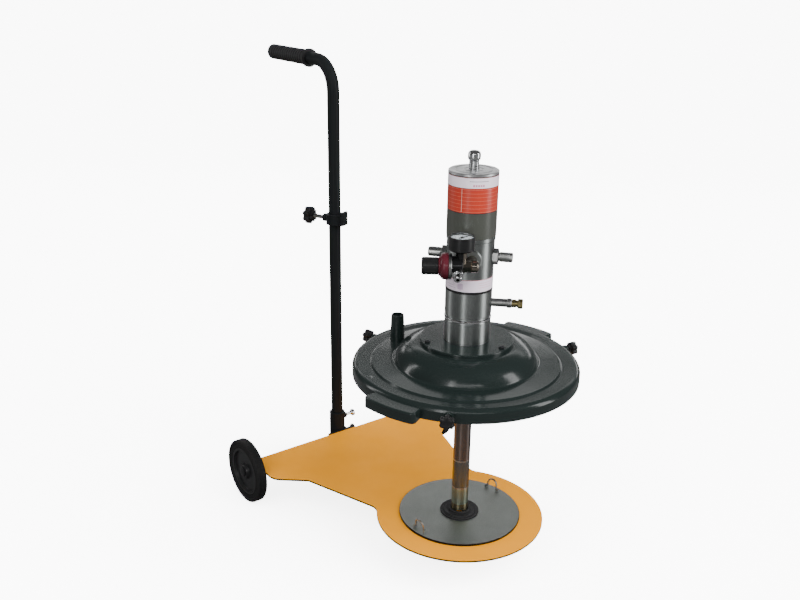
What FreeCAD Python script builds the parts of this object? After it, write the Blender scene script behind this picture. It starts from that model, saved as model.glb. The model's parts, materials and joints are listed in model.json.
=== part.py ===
import FreeCAD, Part
import math
import os

# An air-driven grease pump for an open drum, standing on its two-wheeled trolley.
# Millimetres. The origin is the centre of the base plate's round end, on its top face,
# where the drum and the pump stand. +Z is up, along the pump. +Y points to the handle,
# and +X runs along the axle.

# Fits shared by all pieces
RUNNING = 0.06          # radial clearance of a shaft that turns or slides in its bore
SEATED = 0.1            # radial clearance of a piece that is fixed in its seat
FREE = 0.3              # gap between faces that pass each other
SHEET = 1.5             # wall of pressed steel sheet

# Trolley
plate_thickness = 4.0
plate_height = 78.0     # floor to the top of the plate
ring_radius = 156.0     # round front end of the plate
neck_half_width = 118.0
flank_end_half_width = 171.0
flank_end_y = 262.0
hip_half_width = 226.0
hip_slope = 40.0        # degrees between the axle and the plate's edge at each hip
hip_radius = 30.0
rear_edge_y = 396.0
rear_corner_radius = 34.0
neck_fillet = 24.0
rim_rounding = 0.8

wheel_radius = 66.0
wheel_width = 20.0
wheel_gap = 6.0         # hip to wheel
tyre_depth = 17.0
tyre_edge = 4.0
hub_boss_radius = 15.0
hub_web = 7.0
hub_rim_depth = 5.0
axle_radius = 6.0
axle_inset = 11.0       # axle to the plate's rear edge
axle_cap_radius = 10.0
axle_cap_length = 4.5
bracket_inset = 22.0    # bracket to the plate's side edge
bracket_thickness = 4.0
bracket_width = 34.0
bracket_foot = 26.0
spacer_wall = 1.8

foot_half_span = 38.0
foot_top_half_span = 78.0
foot_width = 40.0
foot_strip = 4.0
foot_flange = 24.0
foot_y = 0.0
foot_pad_radius = 11.0
foot_pad_height = 7.0

# Handle
post_reach = 21.5       # plate's rear edge to the post's axis
post_radius = 12.1
post_wall = 1.6
post_bend_radius = 55.0
handle_height = 782.5   # grip axis above the plate
grip_reach = 82.5       # post's axis to the grip's near end
grip_length = 150.0
grip_radius = 15.0
grip_rib_depth = 1.2
grip_ribs = 14
grip_flange_radius = 18.0
grip_flange_width = 5.0

socket_radius = 16.5
socket_top = 38.5
socket_bottom = -52.0
socket_floor = 4.0
socket_plate_half_width = 34.0
socket_plate_depth = 40.0
gusset_x = 26.0
gusset_length = 66.0
gusset_thickness = 4.0
socket_screw_heights = (24.5, -12.0)
socket_screw_radius = 3.0
socket_boss_radius = 6.5
socket_boss_length = 5.0
small_knob_radius = 7.5
small_knob_length = 9.0
small_knob_reach = 35.0

collar_z = 464.5
collar_height = 20.5
collar_radius = 17.5
collar_knob_angle = 115.0
collar_boss_radius = 8.0
collar_boss_reach = 25.0
hook_reach = 25.0
hook_width = 22.0
hook_thickness = 6.0
hook_rise = 6.0
collar_stud_radius = 4.0
big_knob_radius = 17.0
big_knob_length = 17.0
big_knob_reach = 50.0

# Lid of the drum
lid_radius = 200.0
lid_bottom = 290.0      # lower edge of the skirt above the plate
skirt_height = 16.5
rim_rise = 8.0          # rim's roll above the skirt
rim_roll_width = 13.0
rim_flat_width = 13.0
groove_width = 5.5
groove_depth = 3.0
slope_rise = 4.5        # from the groove to the foot of the dome
dome_radius = 126.0
dome_foot_width = 5.0
dome_top_radius = 84.0
dome_rise = 34.0
lid_hole_radius = 24.0
lug_length = 25.0       # how far a lug stands out from the lid
lug_half_angle = 13.5
lug_angles = (-165.0, 15.0)
lug_drop = 6.0          # rim's top to the lug's shelf
lug_height = 18.5
lug_corner_radius = 8.0
lug_edge_radius = 3.0
lid_screw_angles = (-14.0, 106.0, -138.0)
lid_screw_rise = 11.5   # above the skirt's lower edge
lid_screw_radius = 4.0
lid_nut_radius = 8.0
lid_nut_length = 7.0
lid_knob_radius = 12.5
lid_knob_length = 14.0
lid_knob_gap = 12.0     # skirt to knob
holster_angle = 108.0
holster_inset = 52.0    # lid's edge to the holster's axis
holster_height = 50.0
holster_top_radius = 11.6
holster_foot_radius = 12.8
holster_bore = 9.5

# Pump body, from the lid upwards
flange_radius = 82.0
flange_thickness = 6.3
flange_screw_inset = 8.0
flange_screw_angles = (-77.0, 43.0, 163.0)
flange_screw_radius = 3.0
flange_head_radius = 5.0
neck_radius = 40.0
neck_height = 39.3
neck_spigot_radius = 34.0
ring_height = 5.0
ring_outer_radius = 40.8
head_radius = 40.3
head_foot_radius = 38.2
head_foot_height = 4.9
head_height = 49.1
gasket_thickness = 2.5
gasket_margin = 0.5
gasket_bore = 30.0
valve_radius = 40.5
valve_height = 92.3
valve_rim = 6.3
valve_rim_radius = 41.4
barrel_radius = 42.0
barrel_bore = 37.0
barrel_height = 105.0
cap_thickness = 4.0
cap_spigot = 5.0
cap_bevel = 1.2
muffler_stem_radius = 8.8
muffler_head_radius = 10.6
muffler_height = 31.0
muffler_screw_radius = 5.0

side_port_angle = 130.0     # the opposite nipple points the other way
side_port_height = 55.8     # above the valve body's lower face
side_port_flat = 1.5        # depth of the spot face
side_thread_radius = 8.3
side_thread_length = 24.0
side_hex = 24.0
side_hex_length = 9.0
side_bore = 4.5
outlet_angle = -46.0
outlet_height = 24.4        # above the grease head's lower face
outlet_radius = 7.2
outlet_seat_depth = 10.0
outlet_length = 34.0
outlet_spigot_radius = 4.5
outlet_spigot_length = 8.0
swivel_hex = 15.0
swivel_length = 19.0
swivel_thread_radius = 4.2
swivel_thread_depth = 10.0

# Air regulator and gauge on the valve body
regulator_port_angle = 232.0
regulator_distance = 72.0
regulator_height = 57.8     # above the valve body's lower face
regulator_radius = 17.0
regulator_back = -10.5      # stations run along the regulator's axis, from its port to its knob
elbow_radius = 10.0
elbow_front = 2.5
neck_hex = 18.0
barrel_back = 15.5
regulator_front = 39.5
regulator_flange_radius = 21.0
regulator_flange_length = 6.0
port_boss_radius = 17.2
port_boss_reach = 43.5
port_gap = 2.0              # valve body's boss to the elbow
port_nipple_radius = 6.5
port_seat_depth = 10.0
air_bore = 3.0
bonnet_length = 15.5
bonnet_radius = 22.0
bonnet_nose_radius = 16.0
knob_radius = 14.5
knob_length = 27.5
knob_flutes = 12
knob_shaft_radius = 5.0
knob_shaft_depth = 5.0
inlet_station = 24.5
inlet_tilt = 20.0
inlet_thread_radius = 6.5
inlet_thread_length = 11.0
inlet_hex = 17.0
inlet_hex_length = 6.0
inlet_stem_radius = 4.9
inlet_stem_length = 7.5
inlet_boss_length = 2.0
gauge_station = 18.5
gauge_radius = 21.0
gauge_lift = 27.5       # regulator's axis to the gauge's case
gauge_height = 23.5
gauge_wall = 2.0
gauge_stem_radius = 6.0
gauge_stem_length = 10.0
dial_recess = 5.0
dial_thickness = 0.8
glass_thickness = 1.4
needle_length = 15.0
needle_pin_radius = 1.5
needle_rest = 225.0     # from the regulator's axis, anticlockwise, to the needle at zero

# Suction tube, foot valve and follower
tube_radius = 15.5
tube_bore = 12.5
tube_seat_depth = 20.0
joint_heights = (56.3, 113.5)
joint_ring_height = 3.0
foot_valve_height = 24.0
foot_spigot_height = 12.0
intake_radius = 8.0
intake_window = 10.0
seat_radius = 5.0
seat_z = 16.0
ball_radius = 6.5
ball_lift = 4.0
cage_bar = 2.4
follower_radius = 113.0
follower_thickness = 4.0
collar_hole_radius = 24.0
wiper_flange_radius = 36.0
wiper_step_radius = 31.0
wiper_lip_radius = 21.5
wiper_flange_height = 3.0
wiper_step_height = 2.0
wiper_lip_height = 2.5
bail_circle = 101.0
bail_angles = (11.0, 185.0)
bail_half_width = 10.0
bail_leg = 8.0
bail_wire_radius = 1.5
bail_lean = 8.0
ear_height = 6.0
ear_thickness = 2.5
ear_depth = 7.0

# Pieces that move inside the pump
rod_radius = 6.0
rod_gap = 0.5
rod_end_radius = 4.5
rod_end_length = 9.0
stroke = 70.0
air_piston_height = 14.0
air_piston_lift = 6.0
grease_piston_z = 39.0
grease_piston_height = 22.0
flow_hole_radius = 1.8
seal_height = 8.0
seal_radius = 13.0
spool_circle = 24.0
spool_radius = 6.0
spool_lift = 20.0       # above the valve body's lower face
spool_length = 48.0
spool_travel = 8.0
spool_groove = 1.4

UP = FreeCAD.Vector(0, 0, 1)
ORIGIN = FreeCAD.Vector(0, 0, 0)

# Places that follow from the sizes above
floor_z = -plate_height
axle_z = floor_z + wheel_radius
axle_y = rear_edge_y - axle_inset
plate_bottom = -plate_thickness
wheel_inner_x = hip_half_width + wheel_gap
wheel_outer_x = wheel_inner_x + wheel_width
bracket_x = hip_half_width - bracket_inset
post_y = rear_edge_y + post_reach
grip_start_y = post_y + grip_reach
lid_shoulder_z = lid_bottom + skirt_height
lid_rim_z = lid_shoulder_z + rim_rise
rim_roll_radius = lid_radius - rim_roll_width
groove_outer_radius = rim_roll_radius - rim_flat_width
groove_inner_radius = groove_outer_radius - groove_width
groove_z = lid_rim_z - groove_depth
annulus_z = groove_z + slope_rise
dome_foot_radius = dome_radius + dome_foot_width
dome_top_z = annulus_z + dome_rise
lug_reach = lid_radius + lug_length
lug_top_z = lid_rim_z - lug_drop
lug_bottom_z = lug_top_z - lug_height
lid_screw_z = lid_bottom + lid_screw_rise
lid_knob_reach = lid_radius + lid_knob_gap
holster_centre = lid_radius - holster_inset
flange_top = dome_top_z + flange_thickness
flange_screw_circle = flange_radius - flange_screw_inset
neck_top = flange_top + neck_height
ring_top = neck_top + ring_height
head_step_z = ring_top + head_foot_height
head_top = ring_top + head_height
gasket_top = head_top + gasket_thickness
valve_top = gasket_top + valve_height
barrel_top = valve_top + barrel_height
side_port_z = gasket_top + side_port_height
outlet_z = ring_top + outlet_height
regulator_z = gasket_top + regulator_height
gauge_bottom = regulator_z + gauge_lift
spool_bottom = gasket_top + spool_lift


# Helpers

def vec(x, y, z=0.0):
    return FreeCAD.Vector(x, y, z)


def polar(radius, angle, z=0.0):
    """A point at a radius and an angle in degrees about the pump's axis."""
    turn = math.radians(angle)
    return vec(radius * math.cos(turn), radius * math.sin(turn), z)


def rod(radius, length, base=ORIGIN, direction=UP):
    return Part.makeCylinder(radius, length, base, direction)


def pipe(outer, inner, length, base=ORIGIN, direction=UP):
    return rod(outer, length, base, direction).cut(rod(inner, length, base, direction))


def box(low, high):
    return Part.makeBox(high[0] - low[0], high[1] - low[1], high[2] - low[2], vec(*low))


def wire_of(start, steps, lift):
    """A closed wire. A step is a point for a line, or a pair of points for an arc."""
    edges = []
    here = start
    for step in list(steps) + [start]:
        if isinstance(step[0], tuple):
            through, end = step
            edges.append(Part.Arc(lift(here), lift(through), lift(end)).toShape())
        else:
            end = step
            edges.append(Part.LineSegment(lift(here), lift(end)).toShape())
        here = end
    return Part.Wire(edges)


def turned(start, *steps):
    """A solid turned about Z from an outline of (radius, height) points."""
    face = Part.Face(wire_of(start, steps, lambda p: vec(p[0], 0, p[1])))
    return face.revolve(ORIGIN, UP, 360)


def cap_arc(radius, low, high):
    """The arc step of a spherical cap that ends on the axis, for turned()."""
    rise = high - low
    ball = (radius ** 2 + rise ** 2) / (2 * rise)
    half = math.asin(radius / ball) / 2
    return (ball * math.sin(half), high - ball * (1 - math.cos(half))), (0, high)


def prism(start, steps, z, height):
    face = Part.Face(wire_of(start, steps, lambda p: vec(p[0], p[1], z)))
    return face.extrude(vec(0, 0, height))


def hexagon(across_flats, length, base=ORIGIN):
    corner = across_flats / math.sqrt(3)
    points = [polar(corner, 60 * i) for i in range(7)]
    face = Part.Face(Part.makePolygon(points))
    solid = face.extrude(vec(0, 0, length))
    solid.translate(base)
    return solid


def placed(shape, base, direction):
    """Moves a shape modelled along +Z to a base point, pointing along a direction."""
    result = shape.copy()
    result.Placement = FreeCAD.Placement(base, FreeCAD.Rotation(UP, direction)).multiply(shape.Placement)
    return result


def star_knob(radius, length, lobes, bore):
    """A hand knob with round lobes and a domed back, seated on the stud's end."""
    waist = radius * 0.34
    dome = length * 0.18
    body = turned((0, 0), (waist * 1.6, 0), (radius * 0.8, length * 0.28), (radius, length * 0.4),
                  (radius, length - dome), cap_arc(radius, length - dome, length))
    for i in range(lobes):
        notch = rod(waist * 0.72, length, polar(radius * 1.04, 360 / lobes * (i + 0.5)))
        body = body.cut(notch)
    return body.cut(rod(bore, length * 0.7))


def clamp_screw(radius, tip, reach, head_radius, head_length, lobes):
    """A stud from its tip to its knob, along +Z from the axis that it clamps on."""
    stud_length = reach - tip + head_length * 0.7
    knob = star_knob(head_radius, head_length, lobes, radius + SEATED)
    knob.translate(vec(0, 0, reach))
    stud = rod(radius, stud_length, vec(0, 0, tip))
    stud = stud.makeChamfer(radius * 0.3, [stud.Edges[0], stud.Edges[2]])
    return [stud, knob]


def save(name, *shapes):
    solids = [solid for shape in shapes for solid in shape.Solids]
    result = solids[0] if len(solids) == 1 else Part.makeCompound(solids)
    result.exportStep("parts/" + name + ".step")


# Trolley

def base_plate():
    """Flat sheet: a ring end for the drum, a neck, and hips that reach the wheels."""
    neck_y = math.sqrt(ring_radius ** 2 - neck_half_width ** 2)
    hip_y = flank_end_y + (hip_half_width - flank_end_half_width) * math.tan(math.radians(hip_slope))
    right = [(neck_half_width, neck_y), (flank_end_half_width, flank_end_y), (hip_half_width, hip_y),
             (hip_half_width, rear_edge_y)]
    left = [(-x, y) for x, y in reversed(right)]
    ring = ((0, -ring_radius), right[0])
    plate = prism(right[1], right[2:] + left + [ring], -plate_thickness, plate_thickness)

    def uprights(x, y):
        middle = vec(x, y, plate_bottom / 2)
        opposite = vec(-x, y, plate_bottom / 2)
        return [e for e in plate.Edges if (e.CenterOfMass - middle).Length < 0.1
                or (e.CenterOfMass - opposite).Length < 0.1]

    for radius, place in ((neck_fillet, right[0]), (hip_radius, right[2]), (rear_corner_radius, right[3])):
        plate = plate.makeFillet(radius, uprights(*place))
    rims = [e for e in plate.Edges if abs(e.CenterOfMass.z) < 1e-6]
    return plate.makeFillet(rim_rounding, rims)


def front_foot():
    """A bent strip under the ring, its two ends welded to the plate."""
    top = plate_bottom
    low = floor_z + foot_pad_height
    inner = foot_top_half_span
    outer = inner + foot_flange
    half = foot_half_span
    t = foot_strip
    rise = t * 0.6
    steps = [(outer, top), (outer, top - t), (inner + rise, top - t), (half + rise, low), (-half - rise, low),
             (-inner - rise, top - t), (-outer, top - t), (-outer, top), (-inner + rise, top),
             (-half + rise, low + t), (half - rise, low + t)]
    face = Part.Face(wire_of((inner - rise, top), steps, lambda p: vec(p[0], foot_y - foot_width / 2, p[1])))
    strip = face.extrude(vec(0, foot_width, 0))
    for sign in (1, -1):
        hole = rod(pad_stem_radius(), foot_strip, vec(sign * pad_x(), foot_y, low))
        strip = strip.cut(hole)
    return strip


def pad_x():
    return foot_half_span - foot_pad_radius


def pad_stem_radius():
    return foot_pad_radius * 0.4


def foot_pads():
    """Rubber pads pressed into the foot strip."""
    stem = pad_stem_radius() - SEATED
    height = foot_pad_height
    edge = foot_pad_radius * 0.15
    pad = turned((0, 0), (foot_pad_radius - edge, 0), (foot_pad_radius, edge), (foot_pad_radius, height),
                 (stem, height), (stem, height + foot_strip), (0, height + foot_strip))
    return [placed(pad, vec(sign * pad_x(), foot_y, floor_z), UP) for sign in (1, -1)]


def axle():
    length = 2 * (wheel_outer_x + axle_cap_length * 0.6)
    return rod(axle_radius, length, vec(-length / 2, axle_y, axle_z), vec(1, 0, 0))


def axle_brackets():
    """Angle plates welded under the hips, bored for the axle."""
    half = bracket_width / 2
    result = []
    for sign in (1, -1):
        inside = sign * bracket_x
        web = box((min(inside, inside + sign * bracket_thickness), axle_y - half, axle_z),
                  (max(inside, inside + sign * bracket_thickness), axle_y + half, plate_bottom))
        eye = rod(half, bracket_thickness, vec(inside, axle_y, axle_z), vec(sign, 0, 0))
        eye = eye.cut(box((-wheel_outer_x, 0, axle_z), (wheel_outer_x, 2 * axle_y, half)))
        inner = inside - sign * bracket_foot
        foot = box((min(inside, inner), axle_y - half, plate_bottom - bracket_thickness),
                   (max(inside, inner), axle_y + half, plate_bottom))
        bracket = web.fuse([eye, foot]).removeSplitter()
        start = vec(-wheel_outer_x, axle_y, axle_z)
        bore = rod(axle_radius + SEATED, 2 * wheel_outer_x, start, vec(1, 0, 0))
        result.append(bracket.cut(bore))
    return result


def axle_spacers():
    start = bracket_x + bracket_thickness
    length = wheel_inner_x - FREE - start
    return [pipe(axle_radius + spacer_wall, axle_radius + SEATED, length,
                 vec(sign * start, axle_y, axle_z), vec(sign, 0, 0)) for sign in (1, -1)]


def axle_caps():
    """Domed push-on caps that keep the wheels on."""
    r = axle_cap_radius
    length = axle_cap_length
    depth = axle_cap_length * 0.6
    cap = turned((0, depth), (axle_radius + SEATED, depth), (axle_radius + SEATED, FREE), (r, FREE),
                 (r, length * 0.5), cap_arc(r, length * 0.5, length))
    return [placed(cap, vec(sign * wheel_outer_x, axle_y, axle_z), vec(sign, 0, 0)) for sign in (1, -1)]


def tyre(sign):
    """Solid rubber tread ring with a flat tread, bevelled edges and stepped side walls."""
    r = wheel_radius
    seat = r - tyre_depth
    e = tyre_edge
    w = wheel_width
    wall = e * 0.4
    ring = turned((seat, wall), (r - e * 1.9, wall), (r - e * 1.6, 0), (r - e * 0.8, 0),
                  ((r - e * 0.2, e * 0.25), (r, e)), (r, w - e),
                  ((r - e * 0.2, w - e * 0.25), (r - e * 0.8, w)),
                  (r - e * 1.6, w), (r - e * 1.9, w - wall), (seat, w - wall))
    return placed(ring, vec(sign * wheel_inner_x, axle_y, axle_z), vec(sign, 0, 0))


def hub(sign):
    """Moulded wheel centre: a bored boss, a thin web and a rim under the tyre."""
    rim = wheel_radius - tyre_depth - SEATED
    inner = rim - hub_rim_depth
    w = wheel_width
    side = tyre_edge * 0.4
    near = (w - hub_web) / 2
    far = near + hub_web
    boss = hub_boss_radius
    bore = axle_radius + RUNNING
    body = turned((bore, 0), (boss - 1.5, 0), (boss, 1.5), (boss, near), (inner - 2, near), (inner, side),
                  (rim, side), (rim, w - side), (inner, w - side), (inner - 2, far), (boss + 2, far),
                  (boss, w - 1.5), (boss - 1.5, w), (bore, w))
    return placed(body, vec(sign * wheel_inner_x, axle_y, axle_z), vec(sign, 0, 0))


# Handle

def post_path():
    bend_z = handle_height - post_bend_radius
    bend_y = post_y + post_bend_radius
    inset = post_bend_radius * (1 - math.sqrt(0.5))
    foot = vec(0, post_y, socket_bottom + socket_floor)
    end = vec(0, grip_start_y + grip_length - grip_radius, handle_height)
    rise = Part.LineSegment(foot, vec(0, post_y, bend_z)).toShape()
    middle = vec(0, post_y + inset, handle_height - inset)
    bend = Part.Arc(vec(0, post_y, bend_z), middle, vec(0, bend_y, handle_height)).toShape()
    reach = Part.LineSegment(vec(0, bend_y, handle_height), end).toShape()
    return Part.Wire([rise, bend, reach]), foot


def handle_tube():
    path, foot = post_path()
    shells = []
    for radius in (post_radius, post_radius - post_wall):
        profile = Part.Wire([Part.Circle(foot, UP, radius).toShape()])
        shells.append(path.makePipeShell([profile], True, False))
    return shells[0].cut(shells[1])


def handle_grip():
    """Rubber sleeve with a hand stop, ring grooves and a rounded closed end."""
    r = grip_radius
    length = grip_length
    bore = post_radius + SEATED
    pitch = (length - grip_flange_width - r - 12) / grip_ribs
    steps = [(grip_flange_radius, 0), (grip_flange_radius, grip_flange_width), (r, grip_flange_width + 2)]
    for i in range(grip_ribs):
        start = grip_flange_width + 6 + i * pitch
        steps += [(r, start), (r - grip_rib_depth, start + pitch * 0.2),
                  (r - grip_rib_depth, start + pitch * 0.45), (r, start + pitch * 0.65)]
    steps += [(r, length - r * 0.6), cap_arc(r, length - r * 0.6, length),
              (0, length - r + SEATED), (bore, length - r + SEATED)]
    sleeve = turned((bore, 0), *steps)
    return placed(sleeve, vec(0, grip_start_y, handle_height), vec(0, 1, 0))


def handle_socket():
    """Tube on a plate welded to the base's rear edge, with two gussets bored for the axle."""
    bore = post_radius + RUNNING
    height = socket_top - socket_bottom
    base = vec(0, post_y, socket_bottom)
    plate_back = post_y - socket_radius
    body = rod(socket_radius, height, base)
    half = socket_plate_half_width
    plate = box((-half, rear_edge_y, -socket_plate_depth), (half, plate_back + 1.5, 0))
    bosses = [rod(socket_boss_radius, socket_radius + socket_boss_length, vec(0, post_y, z), vec(1, 0, 0))
              for z in socket_screw_heights]
    body = body.fuse([plate, gusset(1), gusset(-1)] + bosses).removeSplitter()
    body = body.cut(rod(bore, height, base + vec(0, 0, socket_floor)))
    for z in socket_screw_heights:
        hole = rod(socket_screw_radius + RUNNING, socket_radius * 2, vec(0, post_y, z), vec(1, 0, 0))
        body = body.cut(hole)
    return body


def gusset(sign):
    x = sign * gusset_x - gusset_thickness / 2
    low = -socket_plate_depth
    corners = [(rear_edge_y, plate_bottom), (rear_edge_y, low), (rear_edge_y - gusset_length * 0.4, low),
               (rear_edge_y - gusset_length, plate_bottom - 6), (rear_edge_y - gusset_length, plate_bottom),
               (rear_edge_y, plate_bottom)]
    web = Part.Face(Part.makePolygon([vec(x, y, z) for y, z in corners])).extrude(vec(gusset_thickness, 0, 0))
    return web.cut(rod(axle_radius + SEATED, gusset_thickness, vec(x, axle_y, axle_z), vec(1, 0, 0)))


def socket_screw(z):
    parts = clamp_screw(socket_screw_radius, post_radius + FREE, small_knob_reach, small_knob_radius,
                        small_knob_length, 5)
    return [placed(piece, vec(0, post_y, z), vec(1, 0, 0)) for piece in parts]


def collar_direction():
    return polar(1.0, collar_knob_angle)


def post_collar():
    """Ring on the post with a boss for its star screw and a hook plate opposite."""
    base = vec(0, post_y, collar_z)
    ring = rod(collar_radius, collar_height, base)
    middle = base + vec(0, 0, collar_height / 2)
    boss = rod(collar_boss_radius, collar_boss_reach, middle, collar_direction())
    hook = box((-hook_width / 2, post_radius, 0),
               (hook_width / 2, hook_reach, collar_height + hook_rise))
    slot = box((-hook_width / 2, post_radius, collar_height),
               (hook_width / 2, hook_reach - hook_thickness, collar_height + hook_rise))
    hook = hook.cut(slot)
    outer = [e for e in hook.Edges if abs(e.CenterOfMass.y - hook_reach) < 1e-6 and e.Length > collar_height]
    hook = hook.makeFillet(2.5, [e for e in outer if abs(abs(e.CenterOfMass.x) - hook_width / 2) < 1e-6])
    hook.Placement = FreeCAD.Placement(base, FreeCAD.Rotation(UP, collar_knob_angle + 90))
    body = ring.fuse([boss, hook]).removeSplitter()
    body = body.cut(rod(post_radius + RUNNING, collar_height + hook_rise, base))
    return body.cut(rod(collar_stud_radius + RUNNING, collar_boss_reach * 2, middle, collar_direction()))


def collar_screw():
    middle = vec(0, post_y, collar_z + collar_height / 2)
    parts = clamp_screw(collar_stud_radius, post_radius + FREE, big_knob_reach, big_knob_radius,
                        big_knob_length, 7)
    return [placed(piece, middle, collar_direction()) for piece in parts]


# Lid

def lid_fill(shrink):
    """The solid under the lid's skin, or under its inner face when shrunk by the wall."""
    s = shrink
    low = lid_bottom - s
    dome_mid_radius = (dome_top_radius + dome_radius) / 2 + 6
    dome_mid_z = dome_top_z - (dome_top_z - annulus_z) * 0.3
    edge_mid = (lid_radius - 3.6 - s, lid_rim_z - 2.2 - s)
    return turned(
        (0, low), (lid_radius - s, low), (lid_radius - s, lid_shoulder_z - s),
        (edge_mid, (rim_roll_radius + 4, lid_rim_z - s)), (rim_roll_radius - 6, lid_rim_z - s),
        (groove_outer_radius - s, groove_z - s), (groove_inner_radius - s, groove_z - s),
        (groove_inner_radius - 3 - s, groove_z + 3 - s), (dome_foot_radius + 2 - s, annulus_z - s),
        ((dome_foot_radius - 3 - s, annulus_z + 0.8 - s), (dome_radius - s, annulus_z + 4 - s)),
        ((dome_mid_radius - s, dome_mid_z - s), (dome_top_radius - s, dome_top_z - s)), (0, dome_top_z - s))


def sector(radius, half_angle, low, high, corner):
    """A block round the lid's axis about +X, with its two outer corners rounded."""
    inner = rim_roll_radius
    outline = [polar(radius, -half_angle), polar(radius, 0), polar(radius, half_angle),
               polar(inner, half_angle), polar(inner, 0), polar(inner, -half_angle)]
    p = [(point.x, point.y) for point in outline]
    block = prism(p[0], [(p[1], p[2]), p[3], (p[4], p[5])], low, high - low)
    ends = [e for e in block.Edges if abs(e.CenterOfMass.x - p[0][0]) < 1e-6
            and abs(abs(e.CenterOfMass.y) - p[2][1]) < 1e-6]
    return block.makeFillet(corner, ends)


def lug(angle):
    """Pressed carrying lug along the rim: a level shelf with its edges turned down."""
    outside = sector(lug_reach, lug_half_angle, lug_bottom_z, lug_top_z, lug_corner_radius)
    rim = [e for e in outside.Edges if abs(e.CenterOfMass.z - lug_top_z) < 1e-6
           and e.CenterOfMass.x > lid_radius + SHEET]
    outside = outside.makeFillet(lug_edge_radius, rim)
    wall_angle = math.degrees(SHEET / lug_reach)
    inside = sector(lug_reach - SHEET, lug_half_angle - wall_angle, lug_bottom_z, lug_top_z - SHEET,
                    lug_corner_radius - SHEET)
    shelf = outside.cut(inside).cut(lid_fill(0.0))
    shelf.rotate(ORIGIN, UP, angle)
    return shelf


def lid_lugs():
    return [lug(angle) for angle in lug_angles]


def lid():
    """Pressed cover: a dome, a groove and a rolled rim that ends on the skirt."""
    skin = lid_fill(0.0).cut(lid_fill(SHEET))
    skin = skin.cut(rod(lid_radius, skirt_height + SHEET, vec(0, 0, lid_bottom - SHEET)))
    skin = skin.cut(rod(lid_hole_radius, dome_top_z))
    for angle in flange_screw_angles:
        skin = skin.cut(rod(flange_screw_radius + SEATED, dome_top_z, polar(flange_screw_circle, angle)))
    return skin


def lid_skirt():
    """Band welded under the cover's rim, with holes for the clamp screws."""
    band = pipe(lid_radius, lid_radius - SHEET, skirt_height, vec(0, 0, lid_bottom))
    for angle in lid_screw_angles:
        band = band.cut(rod(lid_screw_radius + FREE, lug_reach, vec(0, 0, lid_screw_z), polar(1.0, angle)))
    return band


def lid_nuts():
    """Weld nuts outside the skirt, one for each clamp screw."""
    nuts = []
    for angle in lid_screw_angles:
        direction = polar(1.0, angle)
        seat = polar(lid_radius - SHEET, angle, lid_screw_z)
        body = rod(lid_nut_radius, lid_nut_length + SHEET, seat, direction)
        body = body.cut(rod(lid_radius, lid_rim_z))
        nuts.append(body.cut(rod(lid_screw_radius + RUNNING, lug_reach, vec(0, 0, lid_screw_z), direction)))
    return nuts


def lid_screw(angle):
    parts = clamp_screw(lid_screw_radius, lid_radius, lid_knob_reach, lid_knob_radius, lid_knob_length, 6)
    return [placed(piece, vec(0, 0, lid_screw_z), polar(1.0, angle)) for piece in parts]


def annulus_height(radius):
    """Height of the lid's sloping flat part at a radius."""
    inner = dome_foot_radius + 2
    outer = groove_inner_radius - 3
    share = (radius - inner) / (outer - inner)
    return annulus_z + (groove_z + 3 - annulus_z) * share


def gun_holster():
    """Tapered tube, open at the top, welded to the lid to park the grease gun's nozzle."""
    foot = annulus_height(holster_centre)
    body = turned((0, -4), (holster_foot_radius, -4), (holster_foot_radius, holster_height * 0.45),
                  (holster_top_radius, holster_height - 2), ((holster_top_radius - 0.6, holster_height - 0.5),
                  (holster_top_radius - 1.5, holster_height)), (0, holster_height))
    body = placed(body, polar(holster_centre, holster_angle, foot), UP)
    body = body.cut(lid_fill(0.0))
    floor = vec(0, 0, SHEET + 2)
    return body.cut(rod(holster_bore, holster_height + 8, polar(holster_centre, holster_angle, foot) + floor))


# Pump body

def mounting_flange():
    """Disc that clamps the pump to the dome."""
    disc = rod(flange_radius, flange_thickness, vec(0, 0, dome_top_z))
    edge = [e for e in disc.Edges if abs(e.CenterOfMass.z - flange_top) < 1e-6]
    disc = disc.makeFillet(1.5, edge)
    disc = disc.cut(rod(tube_radius + SEATED, flange_top))
    for angle in flange_screw_angles:
        disc = disc.cut(rod(flange_screw_radius + SEATED, flange_top, polar(flange_screw_circle, angle)))
    return disc


def flange_screws():
    """Slotted cheese-head screws with a nut under the dome."""
    r = flange_screw_radius
    tail = -flange_thickness - SHEET - 5
    seat = -flange_thickness - SHEET
    screw = turned((0, tail), (r, tail), (r, 0), (flange_head_radius, 0), (flange_head_radius, 2.2),
                   (flange_head_radius - 0.8, 3), (0, 3))
    screw = screw.cut(box((-flange_head_radius, -0.6, 1.8), (flange_head_radius, 0.6, 3)))
    nut_height = r * 4 / 3
    nut = hexagon(2 * flange_head_radius, nut_height, vec(0, 0, seat - nut_height))
    nut = nut.cut(rod(r + SEATED, nut_height, vec(0, 0, seat - nut_height)))
    result = []
    for angle in flange_screw_angles:
        place = polar(flange_screw_circle, angle, flange_top)
        for piece in (screw, nut):
            result.append(placed(piece, place, UP))
    return result


def lower_neck():
    """Turned housing above the flange: tube seat below, seal pocket and spigot above."""
    seat = tube_radius + SEATED
    tube_top = flange_top + tube_seat_depth
    pocket = neck_top - seal_height
    body = turned((seat, flange_top), (neck_radius, flange_top), (neck_radius, neck_top - 1),
                  (neck_radius - 1, neck_top), (neck_spigot_radius, neck_top), (neck_spigot_radius, ring_top),
                  (seal_radius, ring_top), (seal_radius, pocket), (rod_radius + rod_gap, pocket),
                  (rod_radius + rod_gap, pocket - 6), (tube_bore, pocket - 6), (tube_bore, tube_top),
                  (seat, tube_top))
    return body


def rod_seal():
    """Packing ring in the neck's pocket, round the rod."""
    top = ring_top - SEATED
    bottom = neck_top - seal_height + SEATED
    return pipe(seal_radius - SEATED, rod_radius + RUNNING, top - bottom, vec(0, 0, bottom))


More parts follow.
